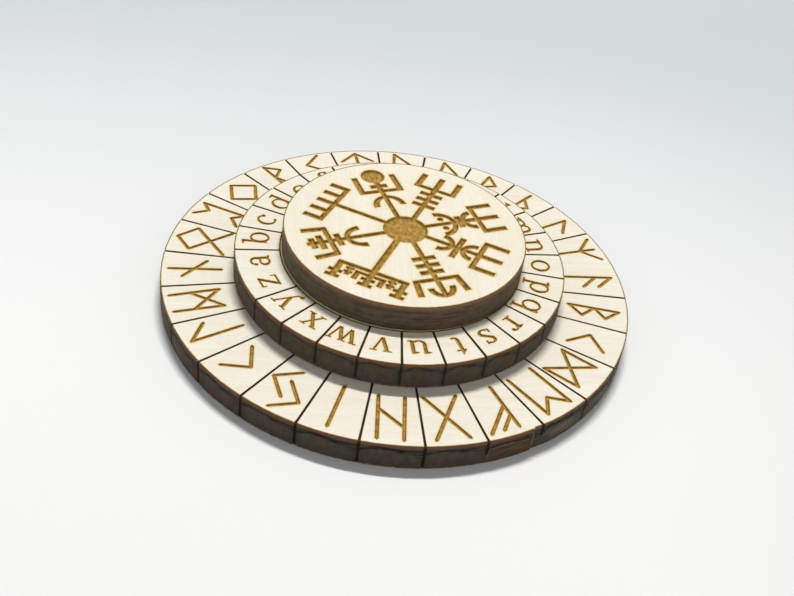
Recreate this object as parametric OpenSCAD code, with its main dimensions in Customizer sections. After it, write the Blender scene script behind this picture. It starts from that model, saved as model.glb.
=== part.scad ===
// A cipher wheel: three laser-cut birch plywood discs on one pivot.
// The outer disc carries 26 runes, the middle disc the letters a to z, the top disc a stave.
// Origin: centre of the underside. Z is the pivot axis. X points along the outer line between A and B.

/* [Discs] */
// Diameter of the outer disc, which carries the runes
outer_d = 100; // [90:1:130]
// Diameter of the middle disc, which carries the alphabet
middle_d = 70; // [62:1:80]
// Diameter of the top disc, which carries the stave
top_d = 51; // [40:0.5:58]
// Thickness of each face veneer and back veneer
face_ply_t = 1.1; // [0.9:0.05:1.6]
// Thickness of each of the three plies between the veneers
inner_ply_t = 1.2; // [1:0.05:1.8]
// Gap between the outer disc and the middle disc
disc_gap = 0.3; // [0.2:0.05:0.8]
// How far the two inner discs stand turned, in degrees
ring_turn = 188.2; // [0:0.1:360]
// How far along X the top disc is glued off centre
top_shift_x = 0.25; // [-0.6:0.05:0.6]
// How far along Y the top disc is glued off centre
top_shift_y = 0.3; // [-0.6:0.05:0.6]

/* [Engraving] */
// Clear edge above and below a rune in its ring
rune_margin = 2; // [1:0.1:3]
// Width of a rune's strokes
rune_stroke = 0.72; // [0.5:0.02:1]
// Depth of the runes
rune_depth = 0.3; // [0.2:0.05:0.8]
// Clear edge above and below the letters in their ring
letter_margin = 1; // [0.5:0.1:1.5]
// Width of a letter's thick strokes
letter_thick = 0.72; // [0.5:0.02:0.9]
// Width of a letter's thin strokes
letter_thin = 0.36; // [0.26:0.02:0.5]
// Depth of the letters
letter_depth = 0.3; // [0.2:0.05:0.8]
// Clear edge round the stave
stave_margin = 2.7; // [2:0.1:4]
// Width of the stave's arms
arm_stroke = 1.05; // [0.8:0.05:1.3]
// Width of the stave's tines and bars
tine_stroke = 1.25; // [0.8:0.05:1.5]
// Radius of the stave's round middle
hub_r = 4.65; // [3:0.05:6]
// Depth of the stave
stave_depth = 0.45; // [0.2:0.05:0.8]
// Width of the lines that divide the rings
line_w = 0.4; // [0.2:0.02:0.6]
// Depth of the lines that divide the rings
line_depth = 0.35; // [0.2:0.05:0.8]
// How far the rune ring's lines run in under the middle disc
line_tuck = 2; // [0.5:0.5:5]
// Width of the circle scored round the seat of the top disc
score_w = 0.25; // [0.15:0.05:0.5]
// Depth of that scored circle
score_depth = 0.2; // [0.1:0.05:0.6]

/* [Pivot] */
// Diameter of the binding post's barrel
post_d = 5; // [4.5:0.1:6]
// Diameter of the binding post's flange
flange_d = 10; // [9:0.1:12]
// Thickness of the binding post's flange
flange_t = 1.2; // [0.8:0.05:1.6]
// How far the flange lies inside the underside
flange_sink = 0.35; // [0.2:0.05:0.6]
// Solid metal in the barrel between its flange and the bore for the thread
post_foot = 1.2; // [0.5:0.1:2]
// Diameter of the screw's thread
screw_d = 3; // [2.5:0.1:3.5]
// Free space in that bore below the screw's end
screw_gap = 1.2; // [0.3:0.1:3]
// Diameter of the screw's head
head_d = 9; // [8:0.1:11]
// Thickness of the screw's head
head_t = 1.2; // [0.8:0.05:1.5]
// Free space above the screw's head, under the top disc
head_room = 0.1; // [0.05:0.05:0.3]
// Diameter of the two steel washers
washer_d = 10; // [9:0.1:12]
// Thickness of the two steel washers
washer_t = 0.5; // [0.3:0.05:0.7]
// Diameter of the thin spacer washer between the discs
spacer_d = 14; // [12:0.5:24]
// Width of a driver slot
slot_w = 1; // [0.6:0.1:1.4]
// Depth of a driver slot
slot_depth = 0.6; // [0.3:0.05:0.7]
// Space round a flange, head or washer in its pocket
pocket_play = 0.5; // [0.2:0.05:1]
// Running clearance of what turns, round the barrel and between faces
turn_play = 0.05; // [0.03:0.01:0.1]
// Clearance round what is only pushed in, such as the thread
fit_play = 0.03; // [0.02:0.01:0.06]

/* [Hidden] */
$fn = 96;

// Heights of the stack
disc_t = 2 * face_ply_t + 3 * inner_ply_t;
middle_z = disc_t + disc_gap;
top_z = middle_z + disc_t;
outer_face_z = disc_t;
middle_face_z = top_z;
top_face_z = top_z + disc_t;
flange_z = flange_sink;
flange_top_z = flange_z + flange_t;
outer_pocket_h = flange_top_z + turn_play + washer_t;
middle_pocket_h = washer_t + head_t + head_room;
head_washer_z = top_z - middle_pocket_h;
head_z = head_washer_z + washer_t;
post_top_z = head_washer_z + washer_t / 2;
bore_z = flange_top_z + post_foot;
screw_z = bore_z + screw_gap;
shank_top_z = head_z + (head_t - slot_depth) / 2;
cut = 1;

// The rings and their 26 places
places = 26;
place_angle = 360 / places;
rune_ring_r = (outer_d + middle_d) / 4;
rune_line_r = middle_d / 2 - line_tuck;
letter_ring_r = (middle_d + top_d) / 4;
letter_line_r = top_d / 2;

// Sizes of the drawings below in their own units, and how much each is scaled to fill its ring
rune_rise = 11;
letter_rise = 7.5;
letter_middle = 2.35;
stave_reach = 22.8;
rune_size = ((outer_d - middle_d) / 2 - 2 * rune_margin) / rune_rise;
letter_size = ((middle_d - top_d) / 2 - 2 * letter_margin) / letter_rise;
stave_size = (top_d / 2 - stave_margin) / stave_reach;

// Thickness of a serif in the letters' units, and how far a rune's stroke runs to a point
serif_t = 0.28;
tip_share = 0.6;
// Smallest radius on the inner side of a curved stroke
least_r = 0.02;

// Outlines of engraved strokes, as lists of points

// A straight stroke from p to q, w wide, with square ends
function bar(p, q, w) =
    let (u = (q - p) / norm(q - p), n = [-u.y, u.x] * w / 2)
    [p + n, p - n, q - n, q + n];

// A straight stroke whose two ends run out to a blunt point
function cut_stroke(p, q, w) =
    let (u = (q - p) / norm(q - p), n = [-u.y, u.x] * w / 2, tip = u * w * tip_share)
    [p + n, p - tip, p - n, q - n, q + tip, q + n];

// A curved stroke on an ellipse, thick at its sides and thin at its top and foot
function bow(c, rx, ry, from, to, thin, thick) =
    let (
        steps = ceil(abs(to - from) / 18),
        turn = [for (i = [0:steps]) from + (to - from) * i / steps],
        half = [for (a = turn) (thin + (thick - thin) * pow(cos(a), 2)) / 2]
    )
    concat(
        [for (i = [0:steps]) c + [(rx + half[i]) * cos(turn[i]), (ry + half[i]) * sin(turn[i])]],
        [
            for (i = [steps:-1:0])
                c + [max(rx - half[i], least_r) * cos(turn[i]), max(ry - half[i], least_r) * sin(turn[i])]
        ]
    );

// A round dot
function dot(c, r) = [for (a = [0:20:340]) c + r * [cos(a), sin(a)]];

// Parts that many letters share
function stem(x, y0, y1) = bar([x, y0], [x, y1], letter_thick / letter_size);
function hair(p, q) = bar(p, q, letter_thin / letter_size);
function slope(p, q) = bar(p, q, letter_thick / letter_size);
function serif(x, y, half) = bar([x - half, y], [x + half, y], serif_t);
function flag(x, y) = [[x - 0.95, y - 0.3], [x - 0.9, y - 0.48], [x, y - 0.75], [x + 0.3, y]];
function curve(c, rx, ry, from, to) =
    bow(c, rx, ry, from, to, letter_thin / letter_size, letter_thick / letter_size);
// A closed bowl, drawn as two halves that overlap a little
function bowl(c, rx, ry) = [curve(c, rx, ry, 0, 190), curve(c, rx, ry, 180, 370)];

// Polylines of each rune, A to Z, x to the right and y outwards from the middle of its ring
RUNES = [
    [[[-1.1, 5.6], [-1.1, -5.3]], [[-1.1, 5.5], [2.3, 1.9]], [[-1.1, 1.9], [2.3, -1.5]]],
    [[[-0.6, 5.4], [-0.6, -5.5]], [[-0.6, 5.4], [2.4, 2.5], [-0.6, 0.1], [2.4, -2.5], [-0.6, -5.4]]],
    [[[2.5, 3.9], [-1.6, 0.1], [2.5, -3.8]]],
    [[[-3.6, 4.1], [-3.6, -3.7], [3.9, 4.1], [3.9, -3.7], [-3.6, 4.1]]],
    [[[-3, -5.5], [-3, 5.5], [0.1, 2.2], [3.2, 5.5], [3.2, -5.5]]],
    [[[-1.4, 5.7], [-1.4, -5.4]], [[-1.4, 2.4], [1.8, 5.6]], [[-1.4, -0.2], [4.6, 5.7]]],
    [[[-2.9, 5.7], [3.5, -5.4]], [[3.6, 5.7], [-2.9, -5.2]]],
    [[[-2.1, 5.9], [-2.1, -5.1]], [[2.9, 5.9], [2.9, -5.1]], [[-2.1, 2.8], [2.9, -1.8]]],
    [[[0.5, 5.6], [0.5, -5.5]]],
    [[[0.5, 6.2], [-3.7, 2.4], [0.5, -1.7]], [[-0.1, 2.9], [4.1, -1.1], [-0.1, -4.9]]],
    [[[2.8, 4.4], [-1.5, 0.5], [2.8, -3.6]]],
    [[[-0.3, -5.3], [-0.3, 5.7], [3.7, 1.4]]],
    [[[-2.4, 5.9], [-2.5, -4.3], [2.8, 1.7], [2.8, 5.9]], [[-2.4, 1.7], [2.8, -4.3], [2.8, 1.7]]],
    [[[0.1, 5.8], [0.1, -5.1]], [[-2.4, 2.9], [2.9, -2.1]]],
    [[[-3.9, -5.1], [3.9, 2.4], [0, 5.9], [-3.8, 2.4], [4, -5.1]]],
    [[[-2.4, 6], [0.1, 3.5], [2.2, 5.8], [2.2, -4.4], [0.1, -2.2], [-2.3, -4.7]]],
    [[[0, 5.5], [3.9, 1.6], [0, -2.2], [-3.9, 1.6], [0, 5.5]]],
    [[[-0.6, -4.4], [-0.6, 6.6], [2.3, 3.9], [-0.6, 1.6], [2.4, -4.4]]],
    [[[2.1, 6.5], [-1.9, 3], [1.9, -0.6], [-2, -4.2]]],
    [[[-3.8, 2.5], [0, 6], [3.8, 2.5]], [[0, 6], [0, -5]]],
    [[[-1.8, -4.6], [-1.8, 6.3], [2.2, 2.2], [2.2, -4.6]]],
    [[[-0.8, -4.8], [-0.8, 6.1], [3.2, 2], [3.2, -4.8]]],
    [[[-0.6, -5], [-0.6, 5.9], [2.4, 3], [-0.6, 0.5]]],
    [[[-0.5, 6.1], [-0.5, -4.8]], [[-0.5, 3.5], [2.3, 0.9], [-0.5, -1.9]]],
    [[[3.4, 1.6], [-0.3, 5.4], [-0.3, -5], [-3.4, -1.4]]],
    [[[-3.9, 5.9], [0, 1.9], [3.8, 5.7]], [[0, 5.6], [0, -5.3]]]
];

// Outlines of each letter, a to z, standing on y = 0 with an x height of 4.1
LETTERS = [
    [
        curve([-0.2, 2.95], 1, 0.95, 0, 150), dot([-1.25, 2.95], 0.38), stem(0.8, 0.5, 3),
        curve([-0.3, 1.05], 1.1, 0.95, 70, 300), hair([0, 1.9], [0.8, 2.2]),
        hair([0.3, 0.2], [0.8, 0.7]), curve([1.2, 0.6], 0.4, 0.4, 180, 310)
    ],
    [stem(-0.75, 0.4, 5.5), flag(-0.9, 5.6), curve([0.7, 1.95], 1.45, 1.85, -165, 165)],
    [curve([0.2, 2], 1.5, 1.85, 55, 305), dot([1.3, 3.1], 0.42)],
    [
        curve([-0.1, 2], 1.5, 1.85, 25, 335), stem(1.4, 0.2, 5.5), flag(1.25, 5.6),
        hair([1.5, 0.2], [2.2, 0.35])
    ],
    [curve([0.1, 2], 1.5, 1.85, 10, 310), hair([-1.3, 2.35], [1.75, 2.35])],
    [
        stem(-0.3, 0, 4.6), curve([0.6, 4.5], 0.9, 1, 45, 180), dot([1.4, 5.1], 0.38),
        hair([-1.3, 3.9], [1, 3.9]), serif(-0.3, 0.14, 1)
    ],
    concat(
        bowl([-0.2, 2.7], 1.05, 1.2), bowl([0.1, -0.5], 1.5, 0.95),
        [hair([0.7, 3.5], [1.8, 3.8]), hair([-0.9, 1.8], [-1.2, 0.9])],
        [bar([-1.3, 0.8], [1.1, 0.5], 0.6)]
    ),
    [
        stem(-1.3, 0, 5.5), flag(-1.45, 5.6), curve([0.1, 2.6], 1.2, 1.2, 0, 150),
        stem(1.3, 0, 2.7), serif(-1.3, 0.14, 0.8), serif(1.3, 0.14, 0.8)
    ],
    [stem(0.2, 0, 3.9), flag(0.05, 4), serif(0.2, 0.14, 0.9), dot([0.15, 5.3], 0.48)],
    [
        stem(0.5, -0.5, 3.9), flag(0.35, 4), curve([-0.35, -0.5], 0.85, 0.95, -110, 0),
        dot([-0.9, -1.2], 0.36), dot([0.4, 5.3], 0.48)
    ],
    [
        stem(-1.2, 0, 5.5), flag(-1.35, 5.6), hair([-1, 1.7], [1.2, 3.9]), serif(1.3, 3.9, 0.7),
        slope([-0.2, 2.5], [1.6, 0.2]), serif(1.7, 0.14, 0.7), serif(-1.2, 0.14, 0.8)
    ],
    [stem(0.1, 0, 5.5), flag(-0.05, 5.6), serif(0.1, 0.14, 1)],
    [
        stem(-1.9, 0, 3.9), flag(-2.05, 4), curve([-0.75, 2.7], 1.05, 1.15, 0, 150),
        stem(0.3, 0, 2.7), curve([1.45, 2.7], 1.05, 1.15, 0, 150), stem(2.5, 0, 2.7),
        serif(-1.9, 0.14, 0.7), serif(0.3, 0.14, 0.7), serif(2.5, 0.14, 0.7)
    ],
    [
        stem(-0.8, 0, 3.9), flag(-0.95, 4), curve([0.5, 2.65], 1.2, 1.2, 0, 150),
        stem(1.7, 0, 2.7), serif(-0.8, 0.14, 0.75), serif(1.75, 0.14, 0.75)
    ],
    bowl([0.3, 2], 1.65, 1.85),
    [
        stem(-0.6, -1.5, 3.9), flag(-0.75, 4), curve([0.8, 2], 1.4, 1.85, -155, 155),
        serif(-0.6, -1.5, 0.9)
    ],
    [
        curve([0, 2.1], 1.45, 1.8, 25, 335), stem(1.55, -1.5, 4), serif(1.55, -1.5, 0.9),
        hair([1, 3.6], [1.6, 4])
    ],
    [
        stem(0.1, 0, 3.9), flag(-0.05, 4), serif(0.15, 0.14, 1),
        curve([1.15, 2.7], 0.9, 1.15, 70, 165), dot([1.75, 3.45], 0.42)
    ],
    [
        curve([0.2, 3.05], 0.9, 0.9, 40, 220), slope([-0.65, 2.75], [1.05, 1.45]),
        curve([0.25, 1.05], 1.05, 0.95, -140, 30), hair([1.15, 3], [1.25, 4]),
        hair([-0.95, 0.1], [-0.95, 1.2])
    ],
    [
        stem(-0.6, 0.7, 4), [[-1.35, 3.75], [-0.3, 5.1], [-0.25, 3.6]],
        hair([-1.4, 3.75], [0.6, 3.75]), curve([0, 0.8], 0.6, 0.65, 180, 320)
    ],
    [
        stem(-0.9, 1, 3.8), flag(-1.05, 3.9), curve([0.2, 1.15], 1.1, 1, 180, 320),
        stem(1.5, 0.1, 3.8), flag(1.35, 3.9), hair([1.5, 0.2], [2.3, 0.2])
    ],
    [
        slope([-1, 3.8], [0.25, 0.2]), hair([1.6, 3.8], [0.3, 0.1]),
        serif(-1.1, 3.9, 0.8), serif(1.65, 3.9, 0.65)
    ],
    [
        slope([-1.7, 3.8], [-0.45, 0.2]), hair([0.4, 3.8], [-0.4, 0.1]), slope([0.5, 3.8], [1.8, 0.2]),
        hair([3, 3.8], [1.9, 0.1]), serif(-1.8, 3.9, 0.75), serif(0.4, 3.9, 0.75),
        serif(3.05, 3.9, 0.6)
    ],
    [
        slope([-0.9, 3.8], [1.6, 0.2]), hair([1.5, 3.8], [-0.9, 0.2]), serif(-0.9, 3.9, 0.75),
        serif(1.5, 3.9, 0.65), serif(-0.9, 0.14, 0.65), serif(1.6, 0.14, 0.75)
    ],
    [
        slope([-0.4, 3.8], [0.95, 0.6]), hair([2.2, 3.8], [0.4, -0.9]), serif(-0.5, 3.9, 0.8),
        serif(2.3, 3.9, 0.65), hair([0.5, -0.7], [-0.4, -1.4]), dot([-0.5, -1.2], 0.42)
    ],
    [
        hair([-1.2, 3.8], [1.8, 3.8]), slope([1.4, 3.7], [-1, 0.3]), hair([-1.4, 0.2], [1.8, 0.2]),
        bar([-1.1, 3], [-1.1, 3.9], serif_t), bar([1.75, 0.1], [1.9, 1.1], serif_t)
    ]
];

// Parts that the stave's arms share, x to the right and y outwards from the stave's middle
function arm(to) = bar([0, hub_r / stave_size - 1], [0, to], arm_stroke / stave_size);
function tine(p, q) = bar(p, q, tine_stroke / stave_size);
function rung(y, half) = bar([-half, y], [half, y], tine_stroke / stave_size);
function rail(y, half) = bar([-half, y], [half, y], arm_stroke / stave_size);
function hoop(y, rx, ry) = bow([0, y], rx, ry, 0, 180, arm_stroke / stave_size, tine_stroke / stave_size);
function cup(y, rx, ry) = bow([0, y], rx, ry, 180, 360, arm_stroke / stave_size, tine_stroke / stave_size);
function bit(x, y) = [for (h = [0, 1.7]) bar([x - 1.45, y + h], [x + 1.45, y + h], 0.95)];

// The eight arms, in turn from the rake
ARMS = [
    concat([arm(16.6), rail(16.6, 6.9)], [for (x = [-6.3, -3.15, 0, 3.15, 6.3]) tine([x, 16.4], [x, 20.6])]),
    [
        arm(21.6), rail(16.6, 4.7), tine([-4.2, 16.3], [-4.6, 21.4]), tine([4.2, 16.3], [4.6, 21.4]),
        rung(20.4, 1.7), rung(18.6, 2.3), rung(14.8, 2), hoop(9.5, 2.9, 3.4)
    ],
    concat(
        [bar([0, 4], [0, 21.9], 1.3), rail(16.9, 7.6), tine([-6.9, 16.9], [-6.9, 21.8])],
        [tine([6.9, 16.9], [6.9, 21.8])], bit(-6.9, 19.9), bit(6.9, 19.9), bit(0, 19.7),
        [bar([-3.3, 18.3], [3.3, 18.3], 0.8), bar([-2.7, 18], [-2.7, 20.7], 1.1)],
        [bar([2.7, 18], [2.7, 20.7], 1.1)],
        [for (x = [-4.5, 4.5]) bar([x, 17], [x, 20.2], 0.95)],
        [for (x = [-4.5, 4.5], y = [18, 19.2]) bar([x - 0.9, y], [x + 0.9, y], 0.65)]
    ),
    [
        arm(22.1), hoop(19.6, 2.3, 2.6), rail(17.1, 4.8), tine([-4.3, 16.7], [-5, 21.6]),
        tine([4.3, 16.7], [5, 21.6]), rung(14.7, 2.5), rung(12.5, 2.5), rung(10.2, 2.5)
    ],
    [
        arm(21.6), rail(16.6, 4.9), tine([-4.45, 16.1], [-4.45, 21.6]), tine([4.45, 16.1], [4.45, 21.6]),
        tine([0, 16], [0, 21.6]), cup(15.5, 2.3, 2.4), rung(11.8, 3.7), hoop(8, 2.3, 2.5)
    ],
    [
        arm(21.6), rail(16.7, 4.8), tine([-4.3, 16.1], [-4.3, 21.6]), tine([4.3, 16.1], [4.3, 21.6]),
        tine([0, 13], [0, 21.6]), cup(15.7, 2.5, 2.2), rung(12.5, 1.95), hoop(7.8, 3.5, 3.5),
        dot([-1.7, 8.7], 0.66), dot([1.5, 8.7], 0.66)
    ],
    [
        arm(22.1), rail(17.1, 4.6), tine([-4.15, 16.6], [-4.15, 22.1]), tine([4.15, 16.6], [4.15, 22.1]),
        tine([0, 16], [0, 22.1]), rung(14.75, 2.5), rung(12.45, 2.5), rung(10.2, 2.5)
    ],
    [
        arm(18.5), rail(14.4, 4.9), tine([-4.4, 13.9], [-4.4, 20.3]), tine([4.4, 13.9], [4.4, 20.3]),
        tine([0, 14], [0, 18.5]), rung(16.3, 1.9), hoop(8.8, 3, 3.4)
    ]
];
// Angle of the first arm from the line between a and b, and what each arm strays from its eighth
stave_turn = -30;
ARM_STRAY = [-1.2, 0.8, 0.5, -1.2, -1.2, -0.2, 0.2, -1.2];
last_arm = len(ARMS) - 1;
// The filled ball at the end of the last arm
ball_y = 20.3;
ball_r = 2.6;

// Each disc's plies are counted from its back veneer, ply 0, to its face veneer
face_ply = 4;

// Height of the underside of ply i in a disc that starts at z
function ply_z(z, i) = i == 0 ? z : z + face_ply_t + (i - 1) * inner_ply_t;
function ply_t(i) = i == 0 || i == face_ply ? face_ply_t : inner_ply_t;

// Ply i of a disc of diameter d that starts at z
module ply(d, z, i) {
    translate([0, 0, ply_z(z, i)]) cylinder(d = d, h = ply_t(i));
}

// The bore and the pocket in the outer disc
module outer_hole() {
    translate([0, 0, -cut]) cylinder(d = post_d + 2 * turn_play, h = disc_t + 2 * cut);
    translate([0, 0, -cut])
        cylinder(d = max(flange_d, washer_d) + 2 * pocket_play, h = outer_pocket_h + cut);
}

// The bore and the pocket in the middle disc
module middle_hole() {
    translate([0, 0, middle_z - cut])
        cylinder(d = post_d + 2 * fit_play, h = disc_t + 2 * cut);
    translate([0, 0, head_washer_z])
        cylinder(d = max(head_d, washer_d) + 2 * pocket_play, h = middle_pocket_h + cut);
}

// Cuts a flat drawing to a depth into the face at height z
module engrave(z, depth) {
    translate([0, 0, z - depth]) linear_extrude(depth + cut) children();
}

// The lines between the 26 places, from radius r0 out past the rim; the last one was left out
module ring_lines(r0, d) {
    for (k = [0:places - 2])
        rotate(-k * place_angle) translate([r0, -line_w / 2]) square([d / 2 + cut - r0, line_w]);
}

// Puts a drawing that reads outwards in the middle of place k of a ring of radius r
module in_place(k, r) {
    rotate(-(k - 0.5) * place_angle - 90) translate([0, r]) children();
}

module rune(k) {
    for (line = RUNES[k], i = [0:len(line) - 2])
        polygon(cut_stroke(line[i] * rune_size, line[i + 1] * rune_size, rune_stroke));
}

module letter(k) {
    for (outline = LETTERS[k]) polygon(outline * letter_size);
}

// Turns a drawing that reads outwards to the stave's arm k
module on_arm(k) {
    rotate(stave_turn + k * 360 / len(ARMS) + ARM_STRAY[k] - 90) children();
}

module stave() {
    circle(hub_r);
    for (k = [0:last_arm])
        on_arm(k) for (outline = ARMS[k]) polygon(outline * stave_size);
    on_arm(last_arm) translate([0, ball_y * stave_size]) circle(ball_r * stave_size);
}

// Turns the two inner discs to where they stand
module turned() {
    rotate(ring_turn) children();
}

module shifted() {
    translate([top_shift_x, top_shift_y, 0]) children();
}

module outer_ply(i) {
    difference() {
        ply(outer_d, 0, i);
        outer_hole();
    }
}

module middle_ply(i) {
    turned() difference() {
        ply(middle_d, middle_z, i);
        middle_hole();
    }
}

module top_ply(i) {
    shifted() turned() ply(top_d, top_z, i);
}

module outer_face_veneer() {
    color("#f1e7d3") difference() {
        outer_ply(face_ply);
        engrave(outer_face_z, rune_depth)
            for (k = [0:places - 1]) in_place(k, rune_ring_r) rune(k);
        engrave(outer_face_z, line_depth) ring_lines(rune_line_r, outer_d);
    }
}

module middle_face_veneer() {
    color("#f1e7d3") turned() difference() {
        ply(middle_d, middle_z, face_ply);
        middle_hole();
        engrave(middle_face_z, letter_depth)
            for (k = [0:places - 1])
                in_place(k, letter_ring_r) translate([0, -letter_middle * letter_size]) letter(k);
        engrave(middle_face_z, line_depth) ring_lines(letter_line_r, middle_d);
        engrave(middle_face_z, score_depth) difference() {
            circle(d = top_d + score_w);
            circle(d = top_d - score_w);
        }
    }
}

module top_face_veneer() {
    color("#f1e7d3") shifted() turned() difference() {
        ply(top_d, top_z, face_ply);
        engrave(top_face_z, stave_depth) stave();
    }
}

// A flat round washer with a hole for the barrel, its underside at z
module washer(d, hole, t, z) {
    translate([0, 0, z]) difference() {
        cylinder(d = d, h = t);
        translate([0, 0, -cut]) cylinder(d = hole, h = t + 2 * cut);
    }
}

// A driver slot across a head, cut from z
module slot(d, z, h) {
    translate([-d / 2 - cut, -slot_w / 2, z]) cube([d + 2 * cut, slot_w, h]);
}

module binding_post() {
    color("#b9a36a") difference() {
        union() {
            translate([0, 0, flange_z]) cylinder(d = flange_d, h = flange_t);
            translate([0, 0, flange_z]) cylinder(d = post_d, h = post_top_z - flange_z);
        }
        translate([0, 0, bore_z]) cylinder(d = screw_d + 2 * fit_play, h = post_top_z);
        slot(flange_d, flange_z - cut, slot_depth + cut);
    }
}

module post_screw() {
    color("#b9a36a") difference() {
        union() {
            translate([0, 0, head_z]) cylinder(d = head_d, h = head_t);
            translate([0, 0, screw_z]) cylinder(d = screw_d, h = shank_top_z - screw_z);
        }
        slot(head_d, head_z + head_t - slot_depth, slot_depth + cut);
    }
}

module flange_washer() {
    color("#9a9ea3")
        washer(washer_d, post_d + 2 * turn_play, washer_t, flange_top_z + turn_play);
}

module head_washer() {
    color("#9a9ea3") washer(washer_d, post_d + 2 * fit_play, washer_t, head_washer_z);
}

module spacer_washer() {
    color("#8d5a33") washer(spacer_d, post_d + 2 * turn_play, disc_gap - turn_play, outer_face_z);
}

// The plies that carry no engraving: only their burnt edges show
module plain_outer_ply(i) {
    color("#5a3a26") outer_ply(i);
}

module plain_middle_ply(i) {
    color("#5a3a26") middle_ply(i);
}

module plain_top_ply(i) {
    color("#5a3a26") top_ply(i);
}

plain_outer_ply(0);  // outer_back_veneer
plain_outer_ply(1);  // outer_lower_cross_ply
plain_outer_ply(2);  // outer_core_ply
plain_outer_ply(3);  // outer_upper_cross_ply
outer_face_veneer();
plain_middle_ply(0);  // middle_back_veneer
plain_middle_ply(1);  // middle_lower_cross_ply
plain_middle_ply(2);  // middle_core_ply
plain_middle_ply(3);  // middle_upper_cross_ply
middle_face_veneer();
plain_top_ply(0);  // top_back_veneer
plain_top_ply(1);  // top_lower_cross_ply
plain_top_ply(2);  // top_core_ply
plain_top_ply(3);  // top_upper_cross_ply
top_face_veneer();
binding_post();
post_screw();
flange_washer();
head_washer();
spacer_washer();
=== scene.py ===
# %% [markdown]
# A wooden cipher wheel, dressed for the camera
#
# The real thing is three discs of birch plywood, cut and engraved by a laser and stacked on one pivot. The
# frame brings every solid of it at its real size. What the frame can't bring is what the laser did to the
# wood: burnt rims, toasted bottoms of the runes, a faint scorch beside each stroke, and the grain.
#
# This lesson keeps the frame as it is and puts one worked-out sheet of wood in the place of each ply.

# %% Load the frame
import math

import bpy
import numpy as np
from mathutils import Matrix, Vector
from mathutils.geometry import delaunay_2d_cdt


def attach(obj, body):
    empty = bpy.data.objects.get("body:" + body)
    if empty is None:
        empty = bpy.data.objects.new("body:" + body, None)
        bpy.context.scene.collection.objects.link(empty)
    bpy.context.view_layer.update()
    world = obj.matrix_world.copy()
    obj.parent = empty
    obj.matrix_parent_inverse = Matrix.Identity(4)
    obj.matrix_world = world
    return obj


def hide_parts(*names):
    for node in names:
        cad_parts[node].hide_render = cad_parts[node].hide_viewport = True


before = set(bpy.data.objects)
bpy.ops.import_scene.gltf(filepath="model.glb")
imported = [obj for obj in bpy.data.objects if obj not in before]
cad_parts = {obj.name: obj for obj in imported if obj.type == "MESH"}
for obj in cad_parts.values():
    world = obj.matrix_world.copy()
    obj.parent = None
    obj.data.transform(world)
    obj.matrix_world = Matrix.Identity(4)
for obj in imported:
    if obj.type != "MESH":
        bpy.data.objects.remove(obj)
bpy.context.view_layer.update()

MM = 0.001  # metres in a millimetre

# %% [markdown]
# The camera
#
# The photograph looks down on the wheel at about 39 degrees with a normal lens, and the wheel leans a
# little to the right in it. A camera is easiest to repeat when it is written as three plain facts: where
# it stands, what it aims at and how far it is rolled. The lens is for a sensor 36 mm wide.

# %% Camera
CAMERA_AT = Vector((-12.9, -184.0, 147.8)) * MM
CAMERA_AIM = Vector((0.0, -7.9, 5.8)) * MM
CAMERA_ROLL = math.radians(8.46)
CAMERA_LENS = 49.1
CAMERA_NEAR = 10 * MM  # nothing nearer than this is drawn


def add_camera(place, aim, roll, lens):
    """A camera at place that looks at aim and is rolled about its own line of sight."""
    camera = bpy.data.objects.new("camera", bpy.data.cameras.new("camera"))
    bpy.context.scene.collection.objects.link(camera)
    level = (aim - place).to_track_quat("-Z", "Y").to_matrix()
    camera.matrix_world = Matrix.Translation(place) @ (level @ Matrix.Rotation(roll, 3, "Z")).to_4x4()
    camera.data.lens = lens
    camera.data.clip_start = CAMERA_NEAR
    bpy.context.scene.camera = camera


add_camera(CAMERA_AT, CAMERA_AIM, CAMERA_ROLL, CAMERA_LENS)
print("camera is", round((CAMERA_AT - CAMERA_AIM).length / MM), "mm from what it aims at")

# %% [markdown]
# Helpers for colour, nodes and meshes
#
# Colours are picked as sRGB hex codes, because that is how one reads them off a picture, but the shader
# wants linear light, so one function converts them. A second small function adds any node with its
# settings and its inputs. A third starts a material with the coordinates that its patterns read, and a
# fourth turns plain arrays into a mesh in one go, which is much faster than adding points one at a time.

# %% Helpers
SHARP = math.radians(35)  # edges that turn by more than this are drawn sharp


def linear(code):
    """sRGB hex to linear light: the usual curve with its straight foot below 0.04045."""
    part = [int(code[i:i + 2], 16) / 255 for i in (1, 3, 5)]
    return tuple(c / 12.92 if c <= 0.04045 else ((c + 0.055) / 1.055) ** 2.4 for c in part) + (1.0,)


def add(tree, kind, settings=None, **inputs):
    """Adds a node. settings are its options; each input is a number, a colour, or another node's output.
    An input is named as on the node, with _ for a space, or by its place as in_0, in_1."""
    node = tree.nodes.new(kind)
    for name, value in (settings or {}).items():
        setattr(node, name, value)
    for name, value in inputs.items():
        key = int(name[3:]) if name.startswith("in_") else name.replace("_", " ")
        if isinstance(value, bpy.types.NodeSocket):
            tree.links.new(value, node.inputs[key])
        else:
            node.inputs[key].default_value = value
    return node


def start_finish(name):
    """A new material, its empty tree and the Object coordinates that its patterns read."""
    material = bpy.data.materials.new(name)
    material.use_nodes = True
    tree = material.node_tree
    tree.nodes.clear()
    return material, tree, add(tree, "ShaderNodeTexCoord").outputs["Object"]


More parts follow.
